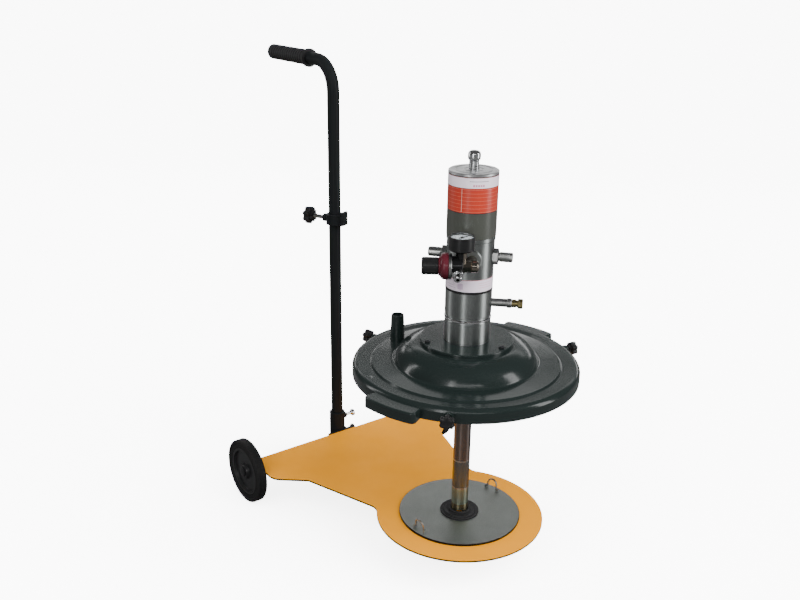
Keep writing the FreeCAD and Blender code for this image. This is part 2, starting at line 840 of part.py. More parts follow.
def retaining_ring():
    low = neck_top
    high = ring_top
    bevel = (high - low) * 0.3
    r = ring_outer_radius
    inner = neck_spigot_radius + SEATED
    return turned((inner, low), (r - bevel, low), (r, low + bevel), (r, high - bevel), (r - bevel, high),
                  (inner, high))


def radial_hole(radius, angle, z, depth_from):
    """A cutter along a radius, from a distance off the axis outwards."""
    return rod(radius, 3 * barrel_radius, polar(depth_from, angle, z), polar(1.0, angle))


def grease_head():
    """Silver outlet housing, with its step and the outlet port."""
    gap = rod_radius + rod_gap
    body = turned((gap, ring_top), (head_foot_radius, ring_top), (head_foot_radius, head_step_z - 1.5),
                  (head_radius, head_step_z), (head_radius, head_top - 1), (head_radius - 1, head_top),
                  (gap, head_top))
    depth = outlet_seat_depth + SEATED
    return body.cut(radial_hole(outlet_radius, outlet_angle, outlet_z, head_radius - depth))


def head_gasket():
    return pipe(head_radius + gasket_margin, gasket_bore, gasket_thickness, vec(0, 0, head_top))


def valve_body():
    """Air valve housing with a rod bore, spool chamber, two side ports and the regulator boss."""
    gap = rod_radius + rod_gap
    r = valve_radius
    rim_low = valve_top - valve_rim
    body = turned((gap, gasket_top), (r - 1, gasket_top), (r, gasket_top + 1), (r, rim_low - 1.2),
                  (r - 1, rim_low - 0.6), (valve_rim_radius, rim_low), (valve_rim_radius, valve_top),
                  (gap, valve_top))
    root = valve_radius / 2
    boss = turned((0, 0), (port_boss_radius, 0), (port_boss_radius, port_boss_reach - root - 1.5),
                  (port_boss_radius - 1.5, port_boss_reach - root), (0, port_boss_reach - root))
    boss = placed(boss, polar(root, regulator_port_angle, regulator_z), polar(1.0, regulator_port_angle))
    body = body.fuse(boss).cut(rod(gap, valve_top))
    for turn in (0, 180):
        angle = side_port_angle + turn
        spot = polar(valve_radius - side_port_flat, angle, side_port_z)
        body = body.cut(radial_hole(side_bore, angle, side_port_z, spool_circle))
        body = body.cut(rod(side_hex * 0.62, valve_radius, spot, polar(1.0, angle)))
    body = body.cut(radial_hole(port_nipple_radius + SEATED, regulator_port_angle, regulator_z,
                                port_boss_reach - port_seat_depth))
    chamber = spool_length + spool_travel + 2 * FREE
    foot = polar(spool_circle, side_port_angle, spool_bottom - FREE)
    return body.cut(rod(spool_radius + RUNNING, chamber, foot))


def air_cylinder():
    return pipe(barrel_radius, barrel_bore, barrel_top - valve_top, vec(0, 0, valve_top))


def top_cap():
    """Chromed end cap with a spigot in the barrel and two turned rings on its face."""
    top = barrel_top + cap_thickness
    low = barrel_top - cap_spigot
    r = barrel_radius
    b = cap_bevel
    spigot = barrel_bore - SEATED
    hole = muffler_screw_radius + SEATED
    return turned((hole, low), (spigot, low), (spigot, barrel_top), (r, barrel_top), (r, top - b),
                  (r - b, top), (r * 0.78, top), (r * 0.76, top - 0.8), (r * 0.72, top - 0.8), (r * 0.7, top),
                  (r * 0.42, top), (r * 0.4, top - 0.8), (r * 0.36, top - 0.8), (r * 0.34, top), (hole, top))


def exhaust_muffler():
    """Screwed into the cap: stem, waist and rounded head with vent slots."""
    base = barrel_top + cap_thickness
    h = muffler_height
    stem = muffler_stem_radius
    head = muffler_head_radius
    screw = muffler_screw_radius
    body = turned((0, -cap_thickness), (screw, -cap_thickness), (screw, 0), (stem, 0), (stem, h * 0.3),
                  (stem - 2.2, h * 0.36), (stem - 2.2, h * 0.42), (head - 1, h * 0.46), (head, h * 0.52),
                  (head, h * 0.8), cap_arc(head, h * 0.8, h))
    for i in range(6):
        slot = box((head * 0.7, -0.7, h * 0.54), (head * 1.2, 0.7, h * 0.76))
        slot.rotate(ORIGIN, UP, 60 * i)
        body = body.cut(slot)
    body.translate(vec(0, 0, base))
    return body


def threaded_nipple(hex_size, hex_length, radius, length, bore):
    """Hexagon and a threaded tail, modelled along +Z with a blunt crest at its end."""
    tail = turned((0, hex_length), (radius - 0.8, hex_length), (radius - 0.8, hex_length + 1.5),
                  (radius, hex_length + 2.3), (radius, hex_length + length - 1.5),
                  (radius - 1.5, hex_length + length), (0, hex_length + length))
    nut = hexagon(hex_size, hex_length)
    corner = hex_size / math.sqrt(3)
    nut = nut.common(turned((0, 0), (corner - 1, 0), (corner, 1), (corner, hex_length - 1),
                            (corner - 1, hex_length), (0, hex_length)))
    return nut.fuse(tail).cut(rod(bore, hex_length + length))


def side_nipple(turn):
    angle = side_port_angle + turn
    body = threaded_nipple(side_hex, side_hex_length, side_thread_radius, side_thread_length, side_bore)
    return placed(body, polar(valve_radius - side_port_flat, angle, side_port_z), polar(1.0, angle))


def outlet_nipple():
    """Pipe from the grease head, with a spigot that the swivel turns on."""
    r = outlet_radius
    seat = outlet_seat_depth
    end = seat + outlet_length
    tip = end + outlet_spigot_length
    body = turned((0, 0), (r - SEATED, 0), (r - SEATED, seat), (r, seat), (r, end - 8),
                  (r + 1.2, end - 7), (r + 1.2, end - 1), (r + 0.4, end), (outlet_spigot_radius, end),
                  (outlet_spigot_radius, tip), (0, tip))
    body = body.cut(rod(outlet_spigot_radius - 1.7, tip))
    return placed(body, polar(head_radius - seat, outlet_angle, outlet_z), polar(1.0, outlet_angle))


def outlet_swivel():
    """Brass swivel end with a hexagon, a collar and a threaded mouth for the hose."""
    length = swivel_length
    collar = swivel_hex * 0.47
    body = hexagon(swivel_hex, length * 0.45, vec(0, 0, length * 0.55))
    corner = swivel_hex / math.sqrt(3)
    rounded = turned((0, 0), (corner, 0), (corner, length - 1.5), (corner - 1.5, length), (0, length))
    body = body.common(rounded)
    sleeve = turned((0, 0), (collar, 0), (collar, length * 0.35), (collar - 1.2, length * 0.42),
                    (collar - 1.2, length * 0.5), (collar, length * 0.55), (0, length * 0.55))
    body = body.fuse(sleeve)
    body = body.cut(rod(outlet_spigot_radius + RUNNING, outlet_spigot_length + FREE))
    body = body.cut(rod(swivel_thread_radius, length))
    start = head_radius + outlet_length + FREE
    return placed(body, polar(start, outlet_angle, outlet_z), polar(1.0, outlet_angle))


# Regulator and gauge

def regulator_point(station, z=None):
    """A point on the regulator's own axis, at a station towards its knob."""
    foot = polar(regulator_distance, regulator_port_angle, regulator_z if z is None else z)
    return foot + regulator_axis() * station


def regulator_axis():
    return polar(1.0, regulator_port_angle - 90)


def inlet_direction():
    tilt = math.radians(inlet_tilt)
    outwards = polar(math.cos(tilt), regulator_port_angle)
    return outwards - UP * math.sin(tilt)


def regulator_body():
    """Elbow with a nipple into the valve body, hexagon neck, and a barrel with three bosses."""
    r = regulator_radius
    e = elbow_radius
    elbow_length = elbow_front - regulator_back
    elbow = turned((0, 0), (e - 5, 0), ((e - 1.5, 1.5), (e, 5)), (e, elbow_length - 1), (e - 1, elbow_length),
                   (0, elbow_length))
    elbow = placed(elbow, regulator_point(regulator_back), regulator_axis())
    neck = hexagon(neck_hex, barrel_back - elbow_front)
    neck = placed(neck, regulator_point(elbow_front), regulator_axis())
    flange = regulator_flange_radius
    length = regulator_front - barrel_back
    flange_foot = length - regulator_flange_length
    barrel = turned((0, 0), (r - 2.5, 0), ((r - 0.7, 0.7), (r, 2.5)), (r, flange_foot),
                    (flange - 1, flange_foot), (flange, flange_foot + 1), (flange, length - 1),
                    (flange - 1, length), (0, length))
    barrel = placed(barrel, regulator_point(barrel_back), regulator_axis())
    gauge_boss = rod(gauge_stem_radius + 3, gauge_lift - 4, regulator_point(gauge_station))
    port_length = regulator_distance - port_boss_reach - port_gap
    port = rod(e - 0.5, port_length, regulator_point(0), polar(-1.0, regulator_port_angle))
    boss_end = r + inlet_boss_length
    inlet = rod(inlet_thread_radius + 3, boss_end, regulator_point(inlet_station), inlet_direction())
    tip = port_boss_reach - port_seat_depth + SEATED
    inwards = polar(-1.0, regulator_port_angle)
    nipple = rod(port_nipple_radius, regulator_distance - tip, regulator_point(0), inwards)
    body = barrel.fuse([elbow, neck, gauge_boss, port, inlet, nipple]).removeSplitter()
    port_bore = rod(air_bore, regulator_distance, regulator_point(0), inwards)
    stem_foot = regulator_point(gauge_station, gauge_bottom - gauge_stem_length - FREE)
    stem = rod(gauge_stem_radius + SEATED, gauge_lift, stem_foot)
    screw_foot = regulator_point(inlet_station) + inlet_direction() * (boss_end - inlet_stem_length - FREE)
    screw = rod(inlet_stem_radius + SEATED, regulator_distance, screw_foot, inlet_direction())
    socket = regulator_point(regulator_front - knob_shaft_depth - FREE)
    shaft = rod(knob_shaft_radius + RUNNING, bonnet_length, socket, regulator_axis())
    return body.cut(port_bore).cut(stem).cut(screw).cut(shaft)


def inlet_nipple():
    """Chromed nipple on the regulator, where the air hose goes on."""
    body = threaded_nipple(inlet_hex, inlet_hex_length, inlet_thread_radius, inlet_thread_length, air_bore)
    stem = pipe(inlet_stem_radius, air_bore, inlet_stem_length, vec(0, 0, -inlet_stem_length))
    seat = regulator_point(inlet_station) + inlet_direction() * (regulator_radius + inlet_boss_length)
    return placed(body.fuse(stem), seat, inlet_direction())


def regulator_bonnet():
    """Spring cover between the body and the knob."""
    length = bonnet_length
    r = bonnet_radius
    nose = bonnet_nose_radius
    hole = knob_shaft_radius + RUNNING
    body = turned((hole, 0), (r, 0), (r, length * 0.3), ((r - 1.2, length * 0.62), (nose, length * 0.85)),
                  (nose, length), (hole, length))
    return placed(body, regulator_point(regulator_front), regulator_axis())


def regulator_knob():
    """Fluted hand knob on its shaft."""
    r = knob_radius
    length = knob_length
    cap = turned((0, 0), (r - 1, 0), (r, 1), (r, length - 3), ((r - 0.9, length - 0.9), (r - 3, length)),
                 (0, length))
    for i in range(knob_flutes):
        flute = rod(1.3, length * 0.7, polar(r + 0.4, 360 / knob_flutes * i, length * 0.12))
        cap = cap.cut(flute)
    reach = FREE + bonnet_length + knob_shaft_depth
    knob = cap.fuse(rod(knob_shaft_radius, reach + 1, vec(0, 0, -reach))).removeSplitter()
    start = regulator_front + bonnet_length + FREE
    return placed(knob, regulator_point(start), regulator_axis())


def gauge_case():
    """Black cup with a rolled rim and a threaded stem."""
    r = gauge_radius
    h = gauge_height
    inner = r - gauge_wall
    floor = h - dial_recess - dial_thickness
    seat = r - gauge_wall * 0.5
    glass_low = h - glass_thickness - 0.5
    body = turned((0, 0), (r - 2, 0), (r, 2), (r, h - 1), (r - 0.6, h), (seat, h), (seat, glass_low),
                  (inner, glass_low), (inner, floor), (0, floor))
    stem = rod(gauge_stem_radius, gauge_stem_length, vec(0, 0, -gauge_stem_length))
    body = body.fuse(stem).cut(rod(needle_pin_radius + RUNNING, floor, vec(0, 0, floor - 4)))
    return placed(body, regulator_point(gauge_station, gauge_bottom), UP)


def gauge_dial():
    floor = gauge_height - dial_recess - dial_thickness
    radius = gauge_radius - gauge_wall - SEATED
    disc = pipe(radius, needle_pin_radius + FREE, dial_thickness, vec(0, 0, floor))
    return placed(disc, regulator_point(gauge_station, gauge_bottom), UP)


def gauge_glass():
    low = gauge_height - glass_thickness - 0.5
    disc = rod(gauge_radius - gauge_wall * 0.5 - SEATED, glass_thickness, vec(0, 0, low))
    return placed(disc, regulator_point(gauge_station, gauge_bottom), UP)


def gauge_needle():
    """Pointer on its spindle, at zero on the dial."""
    floor = gauge_height - dial_recess - dial_thickness
    lift = floor + dial_thickness + 1.0
    blade = prism((-1.6, 1.2), [(-1.6, -1.2), (-6.0, -1.5), (-6.0, 1.5)], lift, 0.7)
    pointer = prism((0, 1.1), [(0, -1.1), (needle_length, -0.3), (needle_length, 0.3)], lift, 0.7)
    cap = rod(2.6, 1.3, vec(0, 0, lift - 0.1))
    pin = rod(needle_pin_radius, lift - floor + 3, vec(0, 0, floor - 3))
    needle = blade.fuse([pointer, cap, pin])
    needle.rotate(ORIGIN, UP, regulator_port_angle - 90 + needle_rest)
    return placed(needle, regulator_point(gauge_station, gauge_bottom), UP)


# Suction tube and foot valve

def tube_section(low, high):
    return pipe(tube_radius, tube_bore, high - low, vec(0, 0, low))


def suction_tube():
    return tube_section(joint_heights[1] + joint_ring_height, flange_top + tube_seat_depth)


def intake_tubes():
    lower = tube_section(foot_valve_height, joint_heights[0])
    upper = tube_section(joint_heights[0] + joint_ring_height, joint_heights[1])
    return [lower, upper]


def tube_joint_rings():
    return [tube_section(z, z + joint_ring_height) for z in joint_heights]


def foot_valve():
    """Foot of the tube: intake windows, a valve seat and the ball's cage."""
    top = foot_valve_height + foot_spigot_height
    spigot = tube_bore - SEATED
    chamber = ball_radius + 1.8
    body = turned((0, 0), (tube_radius - 1.5, 0), (tube_radius, 1.5), (tube_radius, foot_valve_height),
                  (spigot, foot_valve_height), (spigot, top), (0, top))
    body = body.cut(rod(intake_radius, seat_z - 3))
    body = body.cut(rod(seat_radius, seat_z))
    body = body.cut(rod(chamber, top, vec(0, 0, seat_z)))
    for i in range(4):
        window = box((0, -intake_window / 2, 2), (tube_radius * 2, intake_window / 2, seat_z - 4))
        window.rotate(ORIGIN, UP, 45 + 90 * i)
        body = body.cut(window)
    bar_low = ball_rest_z() + ball_radius + ball_lift + FREE
    bar = box((-chamber - 1, -cage_bar / 2, bar_low), (chamber + 1, cage_bar / 2, bar_low + cage_bar))
    return body.fuse(bar.common(rod(spigot, top))).removeSplitter()


def ball_rest_z():
    return seat_z + math.sqrt((ball_radius + FREE / 2) ** 2 - seat_radius ** 2)


def check_ball():
    return Part.makeSphere(ball_radius, vec(0, 0, ball_rest_z()))


# Follower

def bail_pivot_z():
    return follower_thickness + ear_height / 2


def follower_plate():
    """Flat steel disc with ears for the two lifting bails."""
    disc = rod(follower_radius, follower_thickness)
    edge = [e for e in disc.Edges if abs(e.CenterOfMass.z - follower_thickness) < 1e-6]
    disc = disc.makeFillet(1.0, edge)
    disc = disc.cut(rod(collar_hole_radius, follower_thickness))
    hole = bail_wire_radius + RUNNING
    near = bail_half_width + bail_wire_radius + FREE
    for angle in bail_angles:
        for side in (1, -1):
            edges = sorted((side * near, side * (near + ear_thickness)))
            ear = box((-ear_depth / 2, edges[0], follower_thickness - 1),
                      (ear_depth / 2, edges[1], follower_thickness + ear_height))
            ear = ear.cut(rod(hole, 4 * near, vec(0, -2 * near, bail_pivot_z()), vec(0, 1, 0)))
            ear.translate(vec(bail_circle, 0, 0))
            ear.rotate(ORIGIN, UP, angle)
            disc = disc.fuse(ear)
    return disc


def follower_wiper():
    """Stepped rubber grommet that wipes the tube."""
    bore = tube_radius + FREE
    t = follower_thickness
    a = t + wiper_flange_height
    b = a + wiper_step_height
    c = b + wiper_lip_height
    spigot = collar_hole_radius - SEATED
    return turned((bore, FREE), (spigot, FREE), (spigot, t), (wiper_flange_radius, t),
                  (wiper_flange_radius, a - 1), (wiper_flange_radius - 1, a), (wiper_step_radius, a),
                  (wiper_step_radius - 0.8, b), (wiper_lip_radius + 2, b - 0.6), (wiper_lip_radius, b),
                  (wiper_lip_radius, c - 0.8), (wiper_lip_radius - 1, c), (bore + 1, c), (bore, c - 1.5))


def bail(angle):
    """Bent wire ring, leaning outwards past upright against its ears."""
    r = bail_wire_radius
    half = bail_half_width
    top = bail_leg
    rise = Part.LineSegment(vec(0, half, 0), vec(0, half, top)).toShape()
    arch = Part.Arc(vec(0, half, top), vec(0, 0, top + half), vec(0, -half, top)).toShape()
    drop = Part.LineSegment(vec(0, -half, top), vec(0, -half, 0)).toShape()
    path = Part.Wire([rise, arch, drop])
    loop = path.makePipeShell([Part.Wire([Part.Circle(vec(0, half, 0), UP, r).toShape()])], True, False)
    pins = []
    for side in (1, -1):
        pins.append(rod(r, r + FREE + ear_thickness, vec(0, side * half, 0), vec(0, side, 0)))
        pins.append(Part.makeSphere(r, vec(0, side * half, 0)))
    ring = loop.fuse(pins).removeSplitter()
    ring.rotate(ORIGIN, vec(0, 1, 0), bail_lean)
    ring.translate(vec(bail_circle, 0, bail_pivot_z()))
    ring.rotate(ORIGIN, UP, angle)
    return ring


# Moving pieces inside

def piston_bottom():
    return valve_top + air_piston_lift


def piston_rod():
    """Ground rod with a shoulder and a reduced end that screws into each piston."""
    foot = grease_piston_z + grease_piston_height / 2
    top = piston_bottom()
    end = rod_end_radius
    return turned((0, foot), (end, foot), (end, grease_piston_z + grease_piston_height),
                  (rod_radius, grease_piston_z + grease_piston_height), (rod_radius, top), (end, top),
                  (end, top + rod_end_length), (0, top + rod_end_length))


def air_piston():
    """Disc with two seal grooves and a blind hole that the rod screws into."""
    r = barrel_bore - RUNNING
    low = piston_bottom()
    high = low + air_piston_height
    step = air_piston_height / 7
    hole = rod_end_radius + SEATED
    depth = low + rod_end_length + FREE
    outline = [(r, low)]
    for i in (1, 4):
        outline += [(r, low + step * i), (r - 2, low + step * i), (r - 2, low + step * (i + 1)),
                    (r, low + step * (i + 1))]
    return turned((hole, low), *outline, (r, high), (0, high), (0, depth), (hole, depth))


def grease_piston():
    """Lower piston on the rod's end, with four passages for the grease."""
    base = vec(0, 0, grease_piston_z)
    body = rod(tube_bore - RUNNING, grease_piston_height, base)
    socket = base + vec(0, 0, grease_piston_height / 2)
    body = body.cut(rod(rod_end_radius + SEATED, grease_piston_height, socket))
    ring = (rod_radius + tube_bore) / 2
    for i in range(4):
        body = body.cut(rod(flow_hole_radius, grease_piston_height, polar(ring, 90 * i, grease_piston_z)))
    return body


def air_spool():
    """Change-over spool with two lands cut away."""
    r = spool_radius
    g = r - spool_groove
    low = spool_bottom
    third = spool_length / 5
    body = turned((0, low), (r, low), (r, low + third), (g, low + third), (g, low + 2 * third),
                  (r, low + 2 * third), (r, low + 3 * third), (g, low + 3 * third), (g, low + 4 * third),
                  (r, low + 4 * third), (r, low + spool_length), (0, low + spool_length))
    body.translate(polar(spool_circle, side_port_angle))
    return body


def main():
    os.makedirs("parts", exist_ok=True)
    save("base_plate", base_plate())
    save("front_foot", front_foot())
    save("foot_pads", *foot_pads())
    save("axle", axle(), *axle_spacers())
    save("axle_brackets", *axle_brackets())
    save("axle_caps", *axle_caps())
    for name, sign in (("left", -1), ("right", 1)):
        save("tyre_" + name, tyre(sign))
        save("hub_" + name, hub(sign))
    save("handle_tube", handle_tube())
    save("handle_grip", handle_grip())
    save("handle_socket", handle_socket())
    for name, z in zip(("upper", "lower"), socket_screw_heights):
        save("socket_screw_" + name, *socket_screw(z))
    save("post_collar", post_collar())
    save("collar_screw", *collar_screw())
    save("lid", lid())
    save("lid_skirt", lid_skirt())
    save("lid_lugs", *lid_lugs())
    save("lid_nuts", *lid_nuts())
    for i, angle in enumerate(lid_screw_angles):
        save("lid_screw_%d" % (i + 1), *lid_screw(angle))
    save("gun_holster", gun_holster())
    save("mounting_flange", mounting_flange())
    save("flange_screws", *flange_screws())
    save("lower_neck", lower_neck())
    save("retaining_ring", retaining_ring())
    save("grease_head", grease_head())
    save("pump_seals", head_gasket(), rod_seal())
    save("valve_body", valve_body())
    save("air_cylinder", air_cylinder())
    save("top_cap", top_cap())
    save("exhaust_muffler", exhaust_muffler())
    save("side_nipple_left", side_nipple(0))
    save("side_nipple_right", side_nipple(180))
    save("outlet_nipple", outlet_nipple())
    save("outlet_swivel", outlet_swivel())
    save("regulator_body", regulator_body())
    save("inlet_nipple", inlet_nipple())
    save("regulator_bonnet", regulator_bonnet())
    save("regulator_knob", regulator_knob())
    save("gauge_case", gauge_case())
    save("gauge_dial", gauge_dial())
    save("gauge_glass", gauge_glass())
    save("gauge_needle", gauge_needle())
    save("suction_tube", suction_tube())
    save("intake_tubes", *intake_tubes())
    save("tube_joint_rings", *tube_joint_rings())
    save("foot_valve", foot_valve())
    save("check_ball", check_ball())
    save("follower_plate", follower_plate())
    save("follower_wiper", follower_wiper())
    for name, angle in zip(("right", "left"), bail_angles):
        save("bail_" + name, bail(angle))
    save("piston_rod", piston_rod())
    save("air_piston", air_piston())
    save("grease_piston", grease_piston())
    save("air_spool", air_spool())


main()
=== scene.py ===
# %% [markdown]
# # A pneumatic grease pump on its trolley
#
# The imported model gives every piece at its real size. This lesson dresses it: it copies
# the pieces whose form is right and eases their edges, turns the round ones again on
# Blender's own lathe, and gives every surface a finish made from nodes.

# %% Load the frame
import json
import math

import bpy
from mathutils import Matrix, Vector

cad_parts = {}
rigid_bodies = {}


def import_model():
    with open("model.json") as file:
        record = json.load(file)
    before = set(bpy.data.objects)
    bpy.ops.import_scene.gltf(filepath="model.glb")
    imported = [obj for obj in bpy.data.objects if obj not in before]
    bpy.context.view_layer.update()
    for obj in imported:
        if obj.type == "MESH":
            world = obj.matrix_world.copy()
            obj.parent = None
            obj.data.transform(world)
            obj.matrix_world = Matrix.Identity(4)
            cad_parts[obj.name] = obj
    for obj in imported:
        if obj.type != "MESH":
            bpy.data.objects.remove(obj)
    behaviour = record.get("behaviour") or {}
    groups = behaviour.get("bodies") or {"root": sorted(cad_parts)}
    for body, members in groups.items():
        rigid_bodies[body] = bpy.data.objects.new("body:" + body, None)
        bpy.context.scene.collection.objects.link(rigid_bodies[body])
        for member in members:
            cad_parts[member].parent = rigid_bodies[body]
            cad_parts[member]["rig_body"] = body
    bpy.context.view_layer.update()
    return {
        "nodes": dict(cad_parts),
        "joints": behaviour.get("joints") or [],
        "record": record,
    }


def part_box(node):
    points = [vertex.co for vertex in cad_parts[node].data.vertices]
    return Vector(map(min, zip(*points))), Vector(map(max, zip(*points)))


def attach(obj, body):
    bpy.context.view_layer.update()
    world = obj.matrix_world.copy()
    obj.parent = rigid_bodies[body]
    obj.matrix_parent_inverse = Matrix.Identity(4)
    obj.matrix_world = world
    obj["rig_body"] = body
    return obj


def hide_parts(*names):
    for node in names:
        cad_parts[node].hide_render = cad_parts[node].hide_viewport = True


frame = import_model()
MM = 0.001

# %% [markdown]
# ## Camera
#
# A photograph is matched by a camera with the same place, angle and lens. These values were
# solved from straight edges and circles of known size on the object. The shift moves the
# picture without turning the camera, as when a photograph has been cropped.

# %% Set the camera
camera_place = (-1.02269, -1.15459, 0.99138)
camera_azimuth = math.radians(-37.004)
camera_elevation = math.radians(22.067)
camera_roll = math.radians(0.768)
camera_lens = 42.79
camera_shift = (0.0036, 0.0376)

camera_data = bpy.data.cameras.new("camera")
camera_data.sensor_width = 36
camera_data.lens = camera_lens
camera_data.shift_x = camera_shift[0]
camera_data.shift_y = camera_shift[1]
camera = bpy.data.objects.new("camera", camera_data)
bpy.context.scene.collection.objects.link(camera)
camera.location = camera_place
turned = Matrix.Rotation(camera_azimuth, 4, "Z")
tilted = Matrix.Rotation(math.pi / 2 - camera_elevation, 4, "X")
rolled = Matrix.Rotation(camera_roll, 4, "Z")
camera.rotation_euler = (turned @ tilted @ rolled).to_euler()
bpy.context.scene.camera = camera
print("camera at", tuple(round(v, 3) for v in camera.location))

# %% [markdown]
# ## Floor and light
#
# The object stands in a white studio. Three wide suns, as soft as an overcast sky, light it
# evenly from the front, the left and above, and they are left out of reflections. What gloss
# paint and turned metal mirror comes from windows instead: tall ones beside the object draw
# long highlights, and three wide cards behind it, one over the other, are seen in the level
# faces of the lid and the cap. A small lamp would give hard spots. A white room would also be
# mirrored in the black paint and turn it grey. So the floor and the far distance are bright
# only for the camera itself, as when a photographer keeps the bright paper out of the
# reflections, and every other ray meets a darker tone.

# %% Lay the floor
floor_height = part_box("foot_pads")[0].z
floor_size = 60
bpy.ops.object.select_all(action="DESELECT")
bpy.ops.mesh.primitive_plane_add(size=floor_size, location=(0, 0, floor_height))
floor = bpy.context.object
floor.name = "studio_floor"
print("floor at", round(floor_height, 4))


# %% Hang the lamps
def aimed(data, place, aim):
    """Puts a lamp at a place, in metres, and turns it towards a point."""
    lamp = bpy.data.objects.new(data.name, data)
    bpy.context.scene.collection.objects.link(lamp)
    lamp.location = place
    lamp.rotation_euler = (Vector(aim) - Vector(place)).to_track_quat("-Z", "Y").to_euler()
    return lamp


def window(name, place, aim, width, height, power):
    """A rectangular area lamp, with its sides in metres and its power in watts."""
    data = bpy.data.lights.new(name, "AREA")
    data.shape = "RECTANGLE"
    data.size = width
    data.size_y = height
    data.energy = power
    return aimed(data, place, aim)


# Each sky has a direction, a spread in degrees and a strength.
skies = (
    ("front_sky", (0.30, -1.0, 0.95), 50, 4.3),
    ("left_sky", (-1.0, -0.35, 0.9), 50, 2.1),
    ("overhead_sky", (0.1, 0.2, 1.0), 70, 0.9),
)
for name, place, spread, strength in skies:
    data = bpy.data.lights.new(name, "SUN")
    data.angle = math.radians(spread)
    data.energy = strength
    aimed(data, place, (0, 0, 0)).visible_glossy = False

window("left_window", (-2.3, -1.2, 1.1), (0, 0, 1.1), 0.35, 2.2, 12)
window("right_window", (1.5, -1.9, 1.1), (0, 0, 1.1), 0.7, 2.2, 24)
window("far_window", (-1.6, 1.9, 1.2), (0, 0, 1.2), 0.3, 2.0, 8)
pump_middle = (0, 0, 0.35)
window("front_strip", (-2.1, -2.4, 1.8), pump_middle, 3.4, 0.3, 10)

# Each card has a height above the origin, its own height and its power.
cards = (
    ("low_card", 1.2, 0.4, 18.0),
    ("middle_card", 1.8, 0.5, 0.9),
    ("high_card", 2.4, 0.6, 11.0),
)
card_width = 5.5
for name, height, tall, power in cards:
    window(name, (2.2, 2.5, height), (0, 0, height), card_width, tall, power)
print("lamps:", len(bpy.data.lights))

# %% Brighten the distance and the floor for the camera alone
world = bpy.data.worlds.new("studio_world")
bpy.context.scene.world = world
world.use_nodes = True
backdrop = world.node_tree.nodes["Background"]
backdrop.inputs["Color"].default_value = (1, 1, 1, 1)
sight = world.node_tree.nodes.new("ShaderNodeLightPath")
level = world.node_tree.nodes.new("ShaderNodeMapRange")
dim_for_mirrors, bright_for_camera, paper_glow = 0.09, 7.0, 4.5
level.inputs["To Min"].default_value = dim_for_mirrors
level.inputs["To Max"].default_value = bright_for_camera
world.node_tree.links.new(sight.outputs["Is Camera Ray"], level.inputs["Value"])
world.node_tree.links.new(level.outputs[0], backdrop.inputs["Strength"])

paper = bpy.data.materials.new("floor_paper")
paper.use_nodes = True
tree = paper.node_tree
tree.nodes.remove(tree.nodes["Principled BSDF"])
glow = tree.nodes.new("ShaderNodeEmission")
glow.inputs["Strength"].default_value = paper_glow
bright = tree.nodes.new("ShaderNodeBsdfDiffuse")
bright.inputs["Color"].default_value = (3.0, 3.0, 3.0, 1)
lit = tree.nodes.new("ShaderNodeAddShader")
dull = tree.nodes.new("ShaderNodeBsdfDiffuse")
dull.inputs["Color"].default_value = (0.10, 0.10, 0.10, 1)
choice = tree.nodes.new("ShaderNodeMixShader")
view = tree.nodes.new("ShaderNodeLightPath")
tree.links.new(glow.outputs[0], lit.inputs[0])
tree.links.new(bright.outputs[0], lit.inputs[1])
tree.links.new(view.outputs["Is Camera Ray"], choice.inputs[0])
tree.links.new(dull.outputs[0], choice.inputs[1])
tree.links.new(lit.outputs[0], choice.inputs[2])
tree.links.new(choice.outputs[0], tree.nodes["Material Output"].inputs["Surface"])
floor.data.materials.append(paper)
print("studio:", world.name, "and", paper.name)

# %% [markdown]
# ## Shared effects
#
# Some effects come back on many surfaces, so each is a node group with named sockets.
# `grain` is a fine random pattern for roughness and bump. `turning` gives the hair-thin
# rings that a lathe tool leaves round an axis. `dust` is a soft film that lies on faces
# that look upwards. Three more are plain masks: `cut` is one on the near side of a plane,
# `rim` is one outside a radius, and `flank` is one on upright walls. Each group gives out
# only masks, and the material decides what a mask does.


# %% Write the node helpers
def new_group(name, inputs, outputs):
    """An empty shader group with float inputs of (name, default) and float outputs."""
    group = bpy.data.node_groups.new(name, "ShaderNodeTree")
    for label, value in inputs:
        socket = group.interface.new_socket(name=label, in_out="INPUT", socket_type="NodeSocketFloat")
        socket.default_value = value
    for label in outputs:
        group.interface.new_socket(name=label, in_out="OUTPUT", socket_type="NodeSocketFloat")
    return group, group.nodes.new("NodeGroupInput"), group.nodes.new("NodeGroupOutput")


def math_node(tree, operation, first, second=None):
    """A math node whose inputs are sockets or plain numbers."""
    node = tree.nodes.new("ShaderNodeMath")
    node.operation = operation
    for slot, value in zip(node.inputs, (first, second)):
        if value is None:
            continue
        if isinstance(value, (int, float)):
            slot.default_value = value
        else:
            tree.links.new(value, slot)
    return node.outputs[0]


def noise_node(tree, vector, scale, detail):
    """Random clouds at a scale, which is a socket or a plain number."""
    node = tree.nodes.new("ShaderNodeTexNoise")
    node.inputs["Detail"].default_value = detail
    if isinstance(scale, (int, float)):
        node.inputs["Scale"].default_value = scale
    else:
        tree.links.new(scale, node.inputs["Scale"])
    tree.links.new(vector, node.inputs["Vector"])
    return node.outputs["Fac"]


def contrasted(group, noise, contrast):
    """Draws noise away from its middle, or towards it."""
    centred = math_node(group, "SUBTRACT", noise, 0.5)
    spread = math_node(group, "MULTIPLY", centred, contrast)
    return math_node(group, "ADD", spread, 0.5)


def object_place(group):
    """A point's place on the object itself, so that a pattern moves with its piece."""
    return group.nodes.new("ShaderNodeTexCoord").outputs["Object"]


def xyz_of(group, vector):
    """The three parts of a vector socket."""
    split = group.nodes.new("ShaderNodeSeparateXYZ")
    group.links.new(vector, split.inputs[0])
    return split.outputs[0], split.outputs[1], split.outputs[2]


